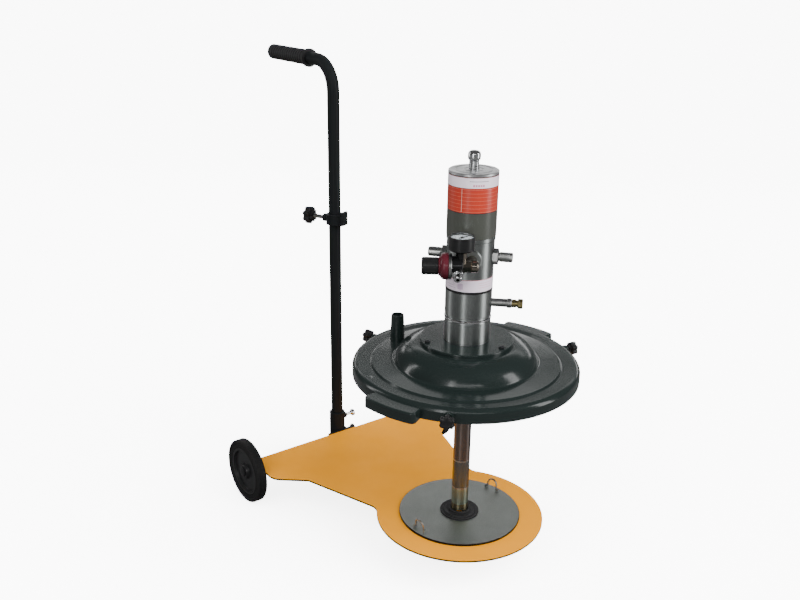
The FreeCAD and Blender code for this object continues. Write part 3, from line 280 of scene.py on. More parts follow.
def facing_of(group):
    """How much a face looks along X, Y and Z."""
    return xyz_of(group, group.nodes.new("ShaderNodeNewGeometry").outputs["Normal"])


def from_axis(group, x, y):
    """Distance from the pump's axis."""
    squares = math_node(group, "ADD", math_node(group, "POWER", x, 2.0), math_node(group, "POWER", y, 2.0))
    return math_node(group, "SQRT", squares)


print("node helpers ready")


# %% Build the node groups
def build_grain():
    """Random clouds, from coarse patches to a fine skin."""
    group, source, result = new_group("grain", [("Scale", 400.0), ("Contrast", 1.0)], ["Mask"])
    noise = noise_node(group, object_place(group), source.outputs["Scale"], 4.0)
    mask = contrasted(group, noise, source.outputs["Contrast"])
    group.links.new(mask, result.inputs["Mask"])
    return group


def build_turning():
    """Rings round Z: noise that changes fast along the axis and hardly at all round it."""
    group, source, result = new_group("turning", [("Fineness", 1500.0), ("Contrast", 1.0)], ["Mask"])
    x, y, z = xyz_of(group, object_place(group))
    along = math_node(group, "ADD", z, from_axis(group, x, y))
    slow_change = 6.0
    join = group.nodes.new("ShaderNodeCombineXYZ")
    group.links.new(math_node(group, "MULTIPLY", along, source.outputs["Fineness"]), join.inputs[2])
    group.links.new(math_node(group, "MULTIPLY", x, slow_change), join.inputs[0])
    group.links.new(math_node(group, "MULTIPLY", y, slow_change), join.inputs[1])
    noise = noise_node(group, join.outputs[0], 1.0, 2.0)
    mask = contrasted(group, noise, source.outputs["Contrast"])
    group.links.new(mask, result.inputs["Mask"])
    return group


def build_dust():
    """A cloudy film that fades as a face turns away from looking up."""
    group, source, result = new_group("dust", [("Scale", 30.0), ("Amount", 0.3)], ["Mask"])
    upward = math_node(group, "MAXIMUM", facing_of(group)[2], 0.0)
    cloud = noise_node(group, object_place(group), source.outputs["Scale"], 5.0)
    film = math_node(group, "MULTIPLY", math_node(group, "POWER", upward, 3.0), cloud)
    group.links.new(math_node(group, "MULTIPLY", film, source.outputs["Amount"]), result.inputs["Mask"])
    return group


def build_cut():
    """One on the near side of a plane, across a direction and at a distance from the origin."""
    inputs = [("X", 0.0), ("Y", 0.0), ("Z", 1.0), ("Limit", 0.0)]
    group, source, result = new_group("cut", inputs, ["Mask"])
    steps = [math_node(group, "MULTIPLY", part, source.outputs[label])
             for part, label in zip(xyz_of(group, object_place(group)), "XYZ")]
    total = math_node(group, "ADD", math_node(group, "ADD", steps[0], steps[1]), steps[2])
    group.links.new(math_node(group, "LESS_THAN", total, source.outputs["Limit"]), result.inputs["Mask"])
    return group


def build_rim():
    """One beyond a radius from the pump's axis."""
    group, source, result = new_group("rim", [("Edge", 0.1)], ["Mask"])
    x, y, z = xyz_of(group, object_place(group))
    beyond = math_node(group, "GREATER_THAN", from_axis(group, x, y), source.outputs["Edge"])
    group.links.new(beyond, result.inputs["Mask"])
    return group


def build_flank():
    """One on walls that stand upright, nought on level faces."""
    group, source, result = new_group("flank", [("Limit", 0.5)], ["Mask"])
    level = math_node(group, "ABSOLUTE", facing_of(group)[2])
    group.links.new(math_node(group, "LESS_THAN", level, source.outputs["Limit"]), result.inputs["Mask"])
    return group


groups = {"grain": build_grain(), "turning": build_turning(), "dust": build_dust(),
          "cut": build_cut(), "rim": build_rim(), "flank": build_flank()}
print("groups:", ", ".join(groups))

# %% [markdown]
# ## Finishes
#
# A finish starts from one Principled shader. Its fixed numbers go on the shader's own
# sockets, and only what changes over the surface is linked: colour, roughness and a bump.
# The functions say how a painted, turned, plated, polished or moulded surface is built from
# the shared effects, and the table below them holds how each real finish looks.


# %% Describe a finish
class Finish:
    """A material under construction: its tree, its shader and short ways to link them."""

    def __init__(self, name, colour, roughness, metallic=0.0, **sockets):
        """A shader with its fixed numbers; a socket's name is given with _ for a space."""
        self.material = bpy.data.materials.new(name)
        self.material.use_nodes = True
        self.tree = self.material.node_tree
        self.shader = self.tree.nodes["Principled BSDF"]
        self.colour = colour
        self.set("Base Color", (*colour, 1))
        self.set("Roughness", roughness)
        self.set("Metallic", metallic)
        for label, value in sockets.items():
            self.set(label.replace("_", " "), value)

    def set(self, label, value):
        """Gives one of the shader's sockets a fixed value."""
        self.shader.inputs[label].default_value = value

    def effect(self, name, **values):
        """Places a shared effect with its own values, and gives its mask."""
        node = self.tree.nodes.new("ShaderNodeGroup")
        node.node_tree = groups[name]
        for label, value in values.items():
            node.inputs[label].default_value = value
        return node.outputs["Mask"]

    def vary_roughness(self, mask, low, high):
        """Lets the middle of a mask's range run from a low to a high roughness."""
        middle_low, middle_high = 0.3, 0.7
        ramp = self.tree.nodes.new("ShaderNodeMapRange")
        ramp.inputs["From Min"].default_value = middle_low
        ramp.inputs["From Max"].default_value = middle_high
        ramp.inputs["To Min"].default_value = low
        ramp.inputs["To Max"].default_value = high
        self.tree.links.new(mask, ramp.inputs["Value"])
        self.tree.links.new(ramp.outputs[0], self.shader.inputs["Roughness"])

    def vary_colour(self, mask, other, base=None):
        """Blends from the base colour, or a socket, to another colour by a mask."""
        mix = self.tree.nodes.new("ShaderNodeMix")
        mix.data_type = "RGBA"
        self.tree.links.new(mask, mix.inputs["Factor"])
        if base is None:
            mix.inputs[6].default_value = (*self.colour, 1)
        else:
            self.tree.links.new(base, mix.inputs[6])
        mix.inputs[7].default_value = (*other, 1)
        self.tree.links.new(mix.outputs[2], self.shader.inputs["Base Color"])
        return mix.outputs[2]

    def bump(self, height, distance, strength=1.0):
        """Tilts the light as if a mask raised the surface by up to a distance in metres."""
        node = self.tree.nodes.new("ShaderNodeBump")
        node.inputs["Strength"].default_value = strength
        node.inputs["Distance"].default_value = distance
        self.tree.links.new(height, node.inputs["Height"])
        self.tree.links.new(node.outputs["Normal"], self.shader.inputs["Normal"])


print("effects:", len(groups))


# %% Say how each kind of surface is built
def darker(colour, share):
    """A colour with a share of its light taken away."""
    return tuple(c * (1 - share) for c in colour)


def painted(name, colour, roughness, coat, dust_amount, peel=0.00003, gloss=0.5, painted_shade_edge=None):
    """Paint or powder coat: a clear skin, and where asked orange peel, dust and a painted shade on upright
    walls.
    """
    finish = Finish(name, colour, roughness, Coat_Weight=coat, Coat_Roughness=roughness * 0.6)
    finish.set("Specular IOR Level", gloss)
    if peel:
        finish.bump(finish.effect("grain", Scale=220.0, Contrast=0.8), peel, 0.5)
    patches = finish.effect("grain", Scale=9.0, Contrast=1.4)
    finish.vary_roughness(patches, roughness * 0.82, roughness * 1.25)
    tone = finish.vary_colour(patches, darker(colour, 0.12))
    if dust_amount:
        film = finish.effect("dust", Scale=24.0, Amount=dust_amount)
        tone = finish.vary_colour(film, (0.42, 0.41, 0.38), tone)
    # Upright walls take a dark colour: painted shade, as on the shaded side faces of the base plate.
    if painted_shade_edge:
        finish.vary_colour(finish.effect("flank", Limit=0.5), painted_shade_edge, tone)
    return finish.material


def turned_metal(name, colour, roughness, contrast=1.0):
    """Bare metal off a lathe: its fine rings draw each highlight out along the axis."""
    quarter_turn = 0.25
    finish = Finish(name, colour, roughness, metallic=1.0, Anisotropic=0.85,
                    Anisotropic_Rotation=quarter_turn)
    rings = finish.effect("turning", Fineness=5000.0, Contrast=contrast)
    finish.vary_roughness(rings, roughness * 0.85, roughness * 1.15)
    stain = finish.effect("grain", Scale=26.0, Contrast=1.2)
    finish.vary_colour(stain, darker(colour, 0.12))
    finish.bump(rings, 0.000004, 0.2)
    return finish.material


def plated(name, colour, roughness, patch_scale=60.0, patch_colour=None, amount=1.2, painted_shade_edge=None):
    """Plated or brushed metal: cloudy, finely scratched, and with a painted shade beyond an edge if one is
    given.
    """
    finish = Finish(name, colour, roughness, metallic=1.0)
    cloud = finish.effect("grain", Scale=patch_scale, Contrast=amount)
    tone = finish.vary_colour(cloud, patch_colour or darker(colour, 0.25))
    if painted_shade_edge:
        # Beyond the edge the metal turns near black: a painted shade along a rim.
        finish.vary_colour(finish.effect("rim", Edge=painted_shade_edge * MM), (0.02, 0.02, 0.02), tone)
    scratches = finish.effect("grain", Scale=900.0, Contrast=1.0)
    finish.vary_roughness(scratches, roughness * 0.75, roughness * 1.35)
    finish.bump(scratches, 0.00001, 0.2)
    return finish.material


def polished(name, colour, roughness):
    """Chrome: nearly a mirror, with no more than a faint smear in its gloss."""
    finish = Finish(name, colour, roughness, metallic=1.0)
    smear = finish.effect("grain", Scale=35.0, Contrast=1.0)
    finish.vary_roughness(smear, roughness * 0.8, roughness * 1.3)
    finish.vary_colour(smear, darker(colour, 0.1))
    return finish.material


def two_tone(name, lower, upper, roughness, direction, limit, metal_above=1.0, metal_below=1.0):
    """Two colours that meet at a plane across a direction, such as a joint between two parts."""
    finish = Finish(name, upper, roughness)
    x, y, z = direction
    near = finish.effect("cut", X=x, Y=y, Z=z, Limit=limit * MM)
    cloud = finish.effect("grain", Scale=45.0, Contrast=1.6)
    tone = finish.vary_colour(near, lower)
    faint = math_node(finish.tree, "MULTIPLY", cloud, 0.35)
    finish.vary_colour(math_node(finish.tree, "MULTIPLY", faint, near), darker(lower, 0.5), tone)
    share = math_node(finish.tree, "MULTIPLY", near, metal_below - metal_above)
    metal = math_node(finish.tree, "ADD", share, metal_above)
    finish.tree.links.new(metal, finish.shader.inputs["Metallic"])
    finish.vary_roughness(cloud, roughness * 0.85, roughness * 1.2)
    return finish.material


def moulded(name, colour, roughness, grain_scale=700.0, depth=0.00004, coat=0.0, dust_amount=0.1):
    """Rubber or moulded plastic: a fine skin grain and a dusty bloom."""
    finish = Finish(name, colour, roughness, Coat_Weight=coat, Coat_Roughness=0.15)
    skin = finish.effect("grain", Scale=grain_scale, Contrast=1.2)
    finish.bump(skin, depth, 0.6)
    finish.vary_roughness(skin, roughness * 0.85, roughness * 1.15)
    bloom = finish.effect("dust", Scale=45.0, Amount=dust_amount)
    cloud = finish.effect("grain", Scale=35.0, Contrast=1.0)
    tone = finish.vary_colour(cloud, tuple(c * 1.6 for c in colour))
    finish.vary_colour(bloom, (0.3, 0.3, 0.29), tone)
    return finish.material


print("six kinds of surface ready")

# %% Fill the table of finishes
joint_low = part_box("tube_joint_rings")[0].z / MM + 1
# Beyond this radius the follower plate is dark: painted shade along its rim beside the wiper.
follower_edge = 112.4
outlet_side, outlet_start = (-0.788, 0.6157, 0), 15.5
finishes = {
    # The yellow paint's last colour is painted shade on its upright walls, such as the base plate's sides.
    "yellow_paint": painted("yellow_paint", (0.86, 0.325, 0.0), 0.5, 0.0, 0.0, 0.00002, 0.12,
                            (0.03, 0.018, 0.004)),
    "black_paint": painted("black_paint", (0.0095, 0.0105, 0.0115), 0.42, 0.0, 0.0, 0.0, 0.10),
    "lid_paint": painted("lid_paint", (0.010, 0.0155, 0.0145), 0.20, 0.3, 0.0, 0.0, 0.42),
    "zinc_steel": plated("zinc_steel", (0.58, 0.59, 0.58), 0.30),
    "follower_steel": plated("follower_steel", (0.47, 0.50, 0.48), 0.46, 14.0, (0.37, 0.39, 0.37), 1.4,
                             follower_edge),
    "chrome": polished("chrome", (0.86, 0.87, 0.88), 0.12),
    "satin_chrome": polished("satin_chrome", (0.97, 0.98, 0.99), 0.34),
    "silver_aluminium": turned_metal("silver_aluminium", (0.50, 0.53, 0.52), 0.44),
    "grey_aluminium": turned_metal("grey_aluminium", (0.54, 0.57, 0.56), 0.36),
    "barrel_grey": painted("barrel_grey", (0.060, 0.064, 0.055), 0.30, 0.3, 0.01),
    "brass": plated("brass", (0.55, 0.44, 0.20), 0.26, 70.0, (0.32, 0.28, 0.14)),
    "passivated_steel": turned_metal("passivated_steel", (0.40, 0.36, 0.22), 0.30, 1.2),
    "tube_brown": turned_metal("tube_brown", (0.26, 0.225, 0.21), 0.34, 1.2),
    "tube_olive": two_tone("tube_olive", (0.46, 0.52, 0.42), (0.20, 0.23, 0.25), 0.34,
                           (0, 0, 1), joint_low),
    # Below outlet_start the elbow and neck are bare metal; their warm brown tint is a painted reflection
    # of warm surroundings in bright metal.
    "regulator_black": two_tone("regulator_black", (0.42, 0.37, 0.31), (0.006, 0.006, 0.0065), 0.12,
                                outlet_side, outlet_start, metal_above=0.0),
    "rubber": moulded("rubber", (0.008, 0.008, 0.0085), 0.6, dust_amount=0.004),
    "tyre_rubber": moulded("tyre_rubber", (0.004, 0.004, 0.0042), 0.7, 500.0, 0.00006, dust_amount=0.002),
    "black_plastic": moulded("black_plastic", (0.006, 0.006, 0.0065), 0.34, 900.0, 0.00002, 0.1, 0.004),
    "red_plastic": moulded("red_plastic", (0.060, 0.006, 0.012), 0.28, 900.0, 0.00001, 0.2, 0.003),
    "dial_white": moulded("dial_white", (0.80, 0.84, 0.88), 0.5, 300.0, 0.00001),
    "needle_black": moulded("needle_black", (0.015, 0.015, 0.015), 0.4),
}
print("finishes in the table:", len(finishes))

# %% Add the gauge's glass and let its dial glow
glass = Finish("clear_glass", (0.95, 0.97, 0.96), 0.03, Transmission_Weight=1.0, IOR=1.46)
smear = glass.effect("grain", Scale=40.0, Contrast=0.8)
glass.vary_roughness(smear, 0.02, 0.06)
finishes["clear_glass"] = glass.material
# The dial glows a little by emission: painted light that keeps it bright behind the glass, which holds
# back the lamps' light.
dial_shader = finishes["dial_white"].node_tree.nodes["Principled BSDF"]
dial_shader.inputs["Emission Color"].default_value = (0.78, 0.90, 1.0, 1)
dial_shader.inputs["Emission Strength"].default_value = 0.3
print("finishes with the glass:", len(finishes))

# %% [markdown]
# ## Dressed copies
#
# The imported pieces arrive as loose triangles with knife-sharp edges. Real sheet, castings
# and mouldings have eased edges that catch the light. So each piece that shows is copied,
# its triangles are joined, its flat faces are merged back into one, and a bevel rounds what
# is still sharp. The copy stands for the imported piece, at the same place and size.

# %% Write the workshop's helpers
slot_of = {row["node"]: row["material_slot"] for row in frame["record"]["subparts"]}
body_of = {node: obj["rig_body"] for node, obj in frame["nodes"].items()}
joint_of = {row["name"]: row for row in frame["joints"]}


def pick(obj):
    """Makes one object the only selected one."""
    bpy.ops.object.select_all(action="DESELECT")
    obj.select_set(True)
    bpy.context.view_layer.objects.active = obj


def ease_edges(obj, width):
    """Rounds the edges that are sharper than an angle, then shades the rest smooth."""
    sharp = math.radians(32)
    pick(obj)
    if width:
        bevel = obj.modifiers.new("eased edges", "BEVEL")
        bevel.width = width * MM
        bevel.segments = 2
        bevel.limit_method = "ANGLE"
        bevel.angle_limit = sharp
        bevel.use_clamp_overlap = True
        bpy.ops.object.modifier_apply(modifier=bevel.name)
    bpy.ops.object.shade_smooth_by_angle(angle=sharp)
    weigh = obj.modifiers.new("flat faces", "WEIGHTED_NORMAL")
    weigh.keep_sharp = True
    bpy.ops.object.modifier_apply(modifier=weigh.name)


def choose(obj, kind, test):
    """Enters edit mode with only those vertices or faces selected that pass a test."""
    pick(obj)
    bpy.ops.object.mode_set(mode="EDIT")
    bpy.ops.mesh.select_mode(type=kind)
    bpy.ops.mesh.select_all(action="DESELECT")
    bpy.ops.object.mode_set(mode="OBJECT")
    items = obj.data.vertices if kind == "VERT" else obj.data.polygons
    for item in items:
        item.select = test(item)
    bpy.ops.object.mode_set(mode="EDIT")


def add_piece(obj, node, finish):
    """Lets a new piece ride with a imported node's body, with its own slot and finish."""
    obj.data.materials.clear()
    obj.data.materials.append(finish)
    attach(obj, body_of[node])


def hand_over(obj, node, finish=None):
    """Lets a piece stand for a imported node, with its body, its slot and a finish."""
    add_piece(obj, node, finishes[finish or slot_of[node]])
    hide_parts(node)


def dressed_copy(node, width):
    """A joined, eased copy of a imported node."""
    obj = bpy.data.objects.new(node + "_dressed", frame["nodes"][node].data.copy())
    bpy.context.scene.collection.objects.link(obj)
    pick(obj)
    bpy.ops.mesh.customdata_custom_splitnormals_clear()
    bpy.ops.object.mode_set(mode="EDIT")
    bpy.ops.mesh.select_all(action="SELECT")
    bpy.ops.mesh.remove_doubles(threshold=1e-6)
    bpy.ops.mesh.dissolve_limited(angle_limit=math.radians(0.5))
    bpy.ops.object.mode_set(mode="OBJECT")
    ease_edges(obj, width)
    return obj


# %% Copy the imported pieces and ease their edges
# The width of each piece's eased edges, in mm. Nought leaves them as they are.
eased = {
    "base_plate": 0.0, "lid_lugs": 0.4, "lid_skirt": 0.2, "front_foot": 0.4, "foot_pads": 0.3,
    "axle": 0.3, "axle_brackets": 0.4, "axle_caps": 0.2, "handle_tube": 0.0, "handle_socket": 0.4,
    "post_collar": 0.4, "lid_nuts": 0.3, "gun_holster": 0.2, "mounting_flange": 0.2,
    "flange_screws": 0.15, "lower_neck": 0.15, "retaining_ring": 0.15, "grease_head": 0.15,
    "pump_seals": 0.15, "valve_body": 0.25, "air_cylinder": 0.2, "top_cap": 0.1,
    "side_nipple_left": 0.15, "side_nipple_right": 0.15, "outlet_nipple": 0.15,
    "outlet_swivel": 0.15, "regulator_body": 0.4, "inlet_nipple": 0.15,
    "regulator_bonnet": 0.2, "regulator_knob": 0.2, "gauge_case": 0.2, "suction_tube": 0.15,
    "intake_tubes": 0.15, "tube_joint_rings": 0.1, "foot_valve": 0.2, "follower_plate": 0.15,
    "follower_wiper": 0.2, "bail_left": 0.1, "bail_right": 0.1, "lid": 0.3, "handle_grip": 0.3,
    "tyre_left": 0.3, "tyre_right": 0.3, "hub_left": 0.3, "hub_right": 0.3,
    "socket_screw_upper": 0.2, "socket_screw_lower": 0.2,
}
# Pieces whose finish differs from the one that their slot names.
finish_of = {
    "flange_screws": "black_paint", "regulator_body": "regulator_black",
    "suction_tube": "tube_brown", "intake_tubes": "tube_olive", "tube_joint_rings": "zinc_steel",
    "socket_screw_upper": "chrome", "socket_screw_lower": "chrome", "top_cap": "satin_chrome",
}
for node, width in eased.items():
    hand_over(dressed_copy(node, width), node, finish=finish_of.get(node))
print("dressed copies:", len(eased))

# %% [markdown]
# ## Labels
#
# The real pump carries two printed films: a tall one round the air cylinder, with a pale
# heading over a red table of figures, and a low pale one round the foot of the valve body.
# A film is a strip of constant thickness on a curved wall, so it is spun from a thin
# rectangle. Its print is generic: rules, columns and bars without a word, worked out from
# the angle round the pump and the height, so that it stays sharp at any distance. One pale
# streak down the red table is no print but a painted highlight.


# %% Set up the lathe
def outline_object(name, points, closed=True):
    """An object in the XZ plane with one edge loop through (radius, height) points in mm."""
    count = len(points)
    edge_count = count if closed else count - 1
    edges = [(i, (i + 1) % count) for i in range(edge_count)]
    mesh = bpy.data.meshes.new(name)
    mesh.from_pydata([(x * MM, 0, z * MM) for x, z in points], edges, [])
    obj = bpy.data.objects.new(name, mesh)
    bpy.context.scene.collection.objects.link(obj)
    return obj


def spun(name, points, steps, sweep=360.0, start=0.0, closed=True):
    """Turns an outline about Z on the lathe, through a sweep in degrees."""
    obj = outline_object(name, points, closed)
    obj.rotation_euler.z = math.radians(start)
    pick(obj)
    bpy.ops.object.transform_apply(location=True, rotation=True, scale=True)
    bpy.ops.object.mode_set(mode="EDIT")
    bpy.ops.mesh.select_all(action="SELECT")
    bpy.ops.mesh.spin(steps=steps, angle=math.radians(sweep), center=(0, 0, 0), axis=(0, 0, 1))
    bpy.ops.mesh.select_all(action="SELECT")
    bpy.ops.mesh.remove_doubles(threshold=1e-7)
    if sweep < 360:
        bpy.ops.mesh.select_all(action="DESELECT")
        bpy.ops.mesh.select_mode(type="EDGE")
        bpy.ops.mesh.select_non_manifold()
        bpy.ops.mesh.fill_holes(sides=len(points) + 2)
        bpy.ops.mesh.select_mode(type="VERT")
        bpy.ops.mesh.select_all(action="SELECT")
    bpy.ops.mesh.normals_make_consistent(inside=False)
    bpy.ops.object.mode_set(mode="OBJECT")
    bpy.ops.object.shade_smooth_by_angle(angle=math.radians(30))
    return obj


print("lathe ready, turning about Z")


# %% Describe a print
def build_wrap():
    """Distance round a cylinder from a facing angle, and height, both in metres."""
    inputs = [("Facing", 0.0), ("Radius", 0.04)]
    group, source, result = new_group("wrap", inputs, ["Around", "Height"])
    turn = group.nodes.new("ShaderNodeCombineXYZ")
    group.links.new(math_node(group, "MULTIPLY", source.outputs["Facing"], -1.0), turn.inputs[2])
    mapping = group.nodes.new("ShaderNodeMapping")
    group.links.new(object_place(group), mapping.inputs["Vector"])
    group.links.new(turn.outputs[0], mapping.inputs["Rotation"])
    x, y, z = xyz_of(group, mapping.outputs[0])
    angle = math_node(group, "ARCTAN2", y, x)
    around = math_node(group, "MULTIPLY", angle, source.outputs["Radius"])
    group.links.new(around, result.inputs["Around"])
    group.links.new(z, result.inputs["Height"])
    return group


class Print(Finish):
    """A printed film: bars and rules laid over one another on a wrapped strip."""

    def __init__(self, name, colour, facing, radius):
        """A film of one colour, on a wall of a radius in mm, centred on a facing angle."""
        super().__init__(name, colour, 0.34, Coat_Weight=0.3, Coat_Roughness=0.2)
        node = self.tree.nodes.new("ShaderNodeGroup")
        node.node_tree = groups["wrap"]
        node.inputs["Facing"].default_value = facing
        node.inputs["Radius"].default_value = radius * MM
        self.around = node.outputs["Around"]
        self.height = node.outputs["Height"]
        self.last = None

    def between(self, value, low, high):
        """One from a low to a high limit, in mm."""
        above = math_node(self.tree, "GREATER_THAN", value, low * MM)
        below = math_node(self.tree, "LESS_THAN", value, high * MM)
        return math_node(self.tree, "MULTIPLY", above, below)

    def bar(self, left, right, low, high, colour, share=1.0):
        """Prints a bar over what is there, and lets some of it through if its share is below one."""
        across = self.between(self.around, left, right)
        up = self.between(self.height, low, high)
        mask = math_node(self.tree, "MULTIPLY", across, up)
        if share < 1.0:
            mask = math_node(self.tree, "MULTIPLY", mask, share)
        self.last = self.vary_colour(mask, colour, self.last)


def film_strip(name, radius, low, high, half, facing):
    """A film as thin as paper, wrapped half to each side of the facing angle, in mm."""
    film = 0.12
    points = [(radius + film, low), (radius + film, high), (radius - film, high), (radius - film, low)]
    sweep = math.degrees(2 * half / radius)
    start = math.degrees(facing + half / radius)
    return spun(name, points, 64, sweep, start)


groups["wrap"] = build_wrap()
print("groups:", len(groups))

# %% Print the cylinder's label
facing = math.atan2(camera.location.y, camera.location.x)
cylinder_low, cylinder_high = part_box("air_cylinder")
cylinder_radius = (cylinder_high.x - cylinder_low.x) / 2 / MM
cylinder_top = cylinder_high.z / MM
head_low = cylinder_top - 19.5
label_low = cylinder_top - 60.5
label_high = cylinder_top - 1.5
label_half = 62.0

pale = (0.95, 0.86, 0.95)
red = (0.47, 0.037, 0.018)
label = Print("label_print", red, facing, cylinder_radius)
# A bar runs from its left to its right edge, counted from the facing line, then from its
# low to its high edge, all in mm.
label.bar(-label_half, label_half, head_low, label_high, pale)
rows = 6
margin = 2
pitch = (head_low - label_low - 2 * margin) / rows
for i in range(rows + 1):
    rule = label_low + margin + i * pitch
    label.bar(-label_half + 4, label_half - 4, rule, rule + 0.6, (0.85, 0.30, 0.20), 0.45)
# A pale vertical streak down the red table, where a tall window's reflection falls on the film: a painted
# highlight.
label.bar(-18.5, -17.8, label_low + 2, head_low - 1, (0.95, 0.7, 0.62), 0.75)
label.bar(-label_half, label_half, label_low, label_low + 0.9, (0.05, 0.01, 0.01))
label.bar(-label_half, label_half, head_low, head_low + 0.8, (0.12, 0.02, 0.02))
label.bar(-label_half, label_half, label_high - 0.7, label_high, (0.35, 0.10, 0.12))
label.bar(-6, 27, head_low + 11.3, head_low + 12.5, (0.25, 0.22, 0.26), 0.8)
for i in range(5):
    label.bar(i * 4.0, i * 4.0 + 3.0, head_low + 3.4, head_low + 6.8, (0.50, 0.10, 0.18), 0.75)
sleeve = film_strip("cylinder_label", cylinder_radius, label_low, label_high, label_half, facing)
add_piece(sleeve, "air_cylinder", label.material)
print("cylinder label:", len(sleeve.data.polygons), "faces")

# %% Print the valve body's label
valve_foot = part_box("valve_body")[0].z / MM
valve_radius = 40.5
band_low = valve_foot + 1.6
band_high = valve_foot + 22.5
band_half = 66.0
band = Print("band_print", (0.92, 0.80, 0.92), facing, valve_radius)
for i in range(3):
    rule = band_low + 7.0 + i * 4.0
    band.bar(16, 46, rule, rule + 0.7, (0.70, 0.22, 0.30), 0.6)
band.bar(-44, -24, band_low + 5, band_low + 5.8, (0.25, 0.16, 0.3), 0.6)
band.bar(-44, -28, band_low + 9, band_low + 9.8, (0.25, 0.16, 0.3), 0.6)
band.bar(-20, -10, band_low + 4, band_low + 14, (0.40, 0.24, 0.42), 0.5)
band.bar(-band_half, band_half, band_high - 0.9, band_high, (0.75, 0.32, 0.36))
strip = film_strip("valve_label", valve_radius, band_low, band_high, band_half, facing)
add_piece(strip, "valve_body", band.material)
print("valve label:", len(strip.data.polygons), "faces")

# %% [markdown]
# ## Muffler
#
# The air leaves through a chromed muffler on top of the cap: a straight stem under a rounded
# head. A lathe turned the real one, so its outline is spun here too. The head's outline bulges
# and closes on the axis, where the spin's doubles are merged into one point.

# %% Turn the muffler
muffler_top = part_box("exhaust_muffler")[1].z / MM
cap_thickness = 4.0
tall = muffler_top - cylinder_top - cap_thickness
foot = muffler_top - tall
# The spigot in the cap, the flange and the stem, then the head as shares of the height.
outline = [(0, -4), (5, -4), (5, 0), (9.2, 0), (9.2, 1.2), (8.5, 2.0)]
outline += [(radius, tall * share) for radius, share in (
    (8.2, 0.44), (8.6, 0.5), (10.3, 0.55), (10.6, 0.62), (10.6, 0.78), (10.2, 0.86),
    (9.0, 0.93), (6.6, 0.98), (3.2, 1), (0, 1))]
muffler = spun("muffler_turned", [(r, foot + z) for r, z in outline], 64, closed=False)
hand_over(muffler, "exhaust_muffler")
print("muffler:", len(muffler.data.polygons), "faces")

# %% [markdown]
# ## Threads
#
# A thread is one ridge that climbs round a bar. The Screw modifier makes it from a small
# triangle: each turn lifts the triangle by one pitch. Its two open ends are filled, and its
# root lies a little inside the bar, so that no gap shows. Drawing rings instead would be
# quicker, but from the side a real thread leans.


# %% Write the thread cutter
def turn_to(obj, place, direction):
    """Turns a piece that was made along Z at the origin, and leaves its place in its mesh."""
    lean = Vector(direction).to_track_quat("Z", "Y").to_matrix().to_4x4()
    obj.matrix_world = Matrix.Translation(Vector(place)) @ lean
    pick(obj)
    bpy.ops.object.transform_apply(location=True, rotation=True, scale=True)


def ridge(name, root, crest, pitch, length):
    """A helical ridge along Z from nought, in mm."""
    half = pitch * 0.42
    steps_per_turn = 24
    obj = outline_object(name, [(root, -half), (crest, 0), (root, half)])
    pick(obj)
    climb = obj.modifiers.new("climb", "SCREW")
    climb.axis = "Z"
    climb.angle = math.tau
    climb.screw_offset = pitch * MM
    climb.iterations = max(1, int(length / pitch))
    climb.steps = steps_per_turn
    climb.render_steps = steps_per_turn
    climb.use_merge_vertices = True
    climb.merge_threshold = 1e-6
    bpy.ops.object.modifier_apply(modifier=climb.name)
    bpy.ops.object.mode_set(mode="EDIT")
    bpy.ops.mesh.select_all(action="SELECT")
    bpy.ops.mesh.remove_doubles(threshold=1e-6)
    bpy.ops.mesh.select_all(action="DESELECT")
    bpy.ops.mesh.select_mode(type="EDGE")
    bpy.ops.mesh.select_non_manifold()
    bpy.ops.mesh.fill_holes(sides=4)
    bpy.ops.mesh.select_mode(type="VERT")
    bpy.ops.mesh.select_all(action="SELECT")
    bpy.ops.mesh.normals_make_consistent(inside=False)
    bpy.ops.object.mode_set(mode="OBJECT")
    bpy.ops.object.shade_smooth_by_angle(angle=math.radians(50))
    return obj


def reach_of(node, direction):
    """Nearest and farthest point of a node along a direction, in metres."""
    mesh = frame["nodes"][node].data
    along = [Vector(direction).dot(v.co) for v in mesh.vertices]
    return min(along), max(along)


print("thread cutter ready")

# %% Thread the side nipples
nipple_root, nipple_crest, nipple_pitch = 8.1, 8.75, 1.8
thread_length, thread_start = 17.5, 20.5
for node in ("side_nipple_left", "side_nipple_right"):
    low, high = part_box(node)
    middle = (low + high) / 2
    outwards = Vector((middle.x, middle.y, 0)).normalized()
    start = reach_of(node, outwards)[1] - thread_start * MM
    thread = ridge(node + "_thread", nipple_root, nipple_crest, nipple_pitch, thread_length)
    turn_to(thread, outwards * start + Vector((0, 0, middle.z)), outwards)
    add_piece(thread, node, finishes[slot_of[node]])
print("threads on the side nipples")

# %% [markdown]
# ## Clamp band
#
# A bright steel band clamps the regulator's spring cover to its body. It is rolled from
# strip, so it is spun from a thin rectangle with eased corners, then turned to lie on the
# regulator's own axis, which the hand knob's joint gives.

# %% Roll the clamp band
knob_joint = joint_of["regulator_knob_turn"]
regulator_axis = Vector(knob_joint["axis"])
cover_back = reach_of("regulator_bonnet", regulator_axis)[0]
knob_place = Vector(knob_joint["pos_m"])
on_axis = knob_place - regulator_axis * regulator_axis.dot(knob_place)
band_outline = [(20.8, 0.4), (21.3, 0.0), (21.7, 0.5), (21.7, 4.4), (21.3, 4.9), (20.8, 4.5)]
band_reach = 5.4
clamp_band = spun("clamp_band", band_outline, 72)
turn_to(clamp_band, on_axis + regulator_axis * (cover_back - band_reach * MM), regulator_axis)
add_piece(clamp_band, "regulator_body", finishes["zinc_steel"])
print("clamp band:", len(clamp_band.data.polygons), "faces")

# %% [markdown]
# ## Star screws
#
# Three star screws clamp the lid to the drum and a bigger one holds the collar. The knob is
# modelled once for each size: a cylinder whose wall is drawn in at the valleys, a neck
# extruded from its lower face, a stepped back and two levels of subdivision. Copies get
# their own mesh and their own place. The stud is a turned bar with a thread.


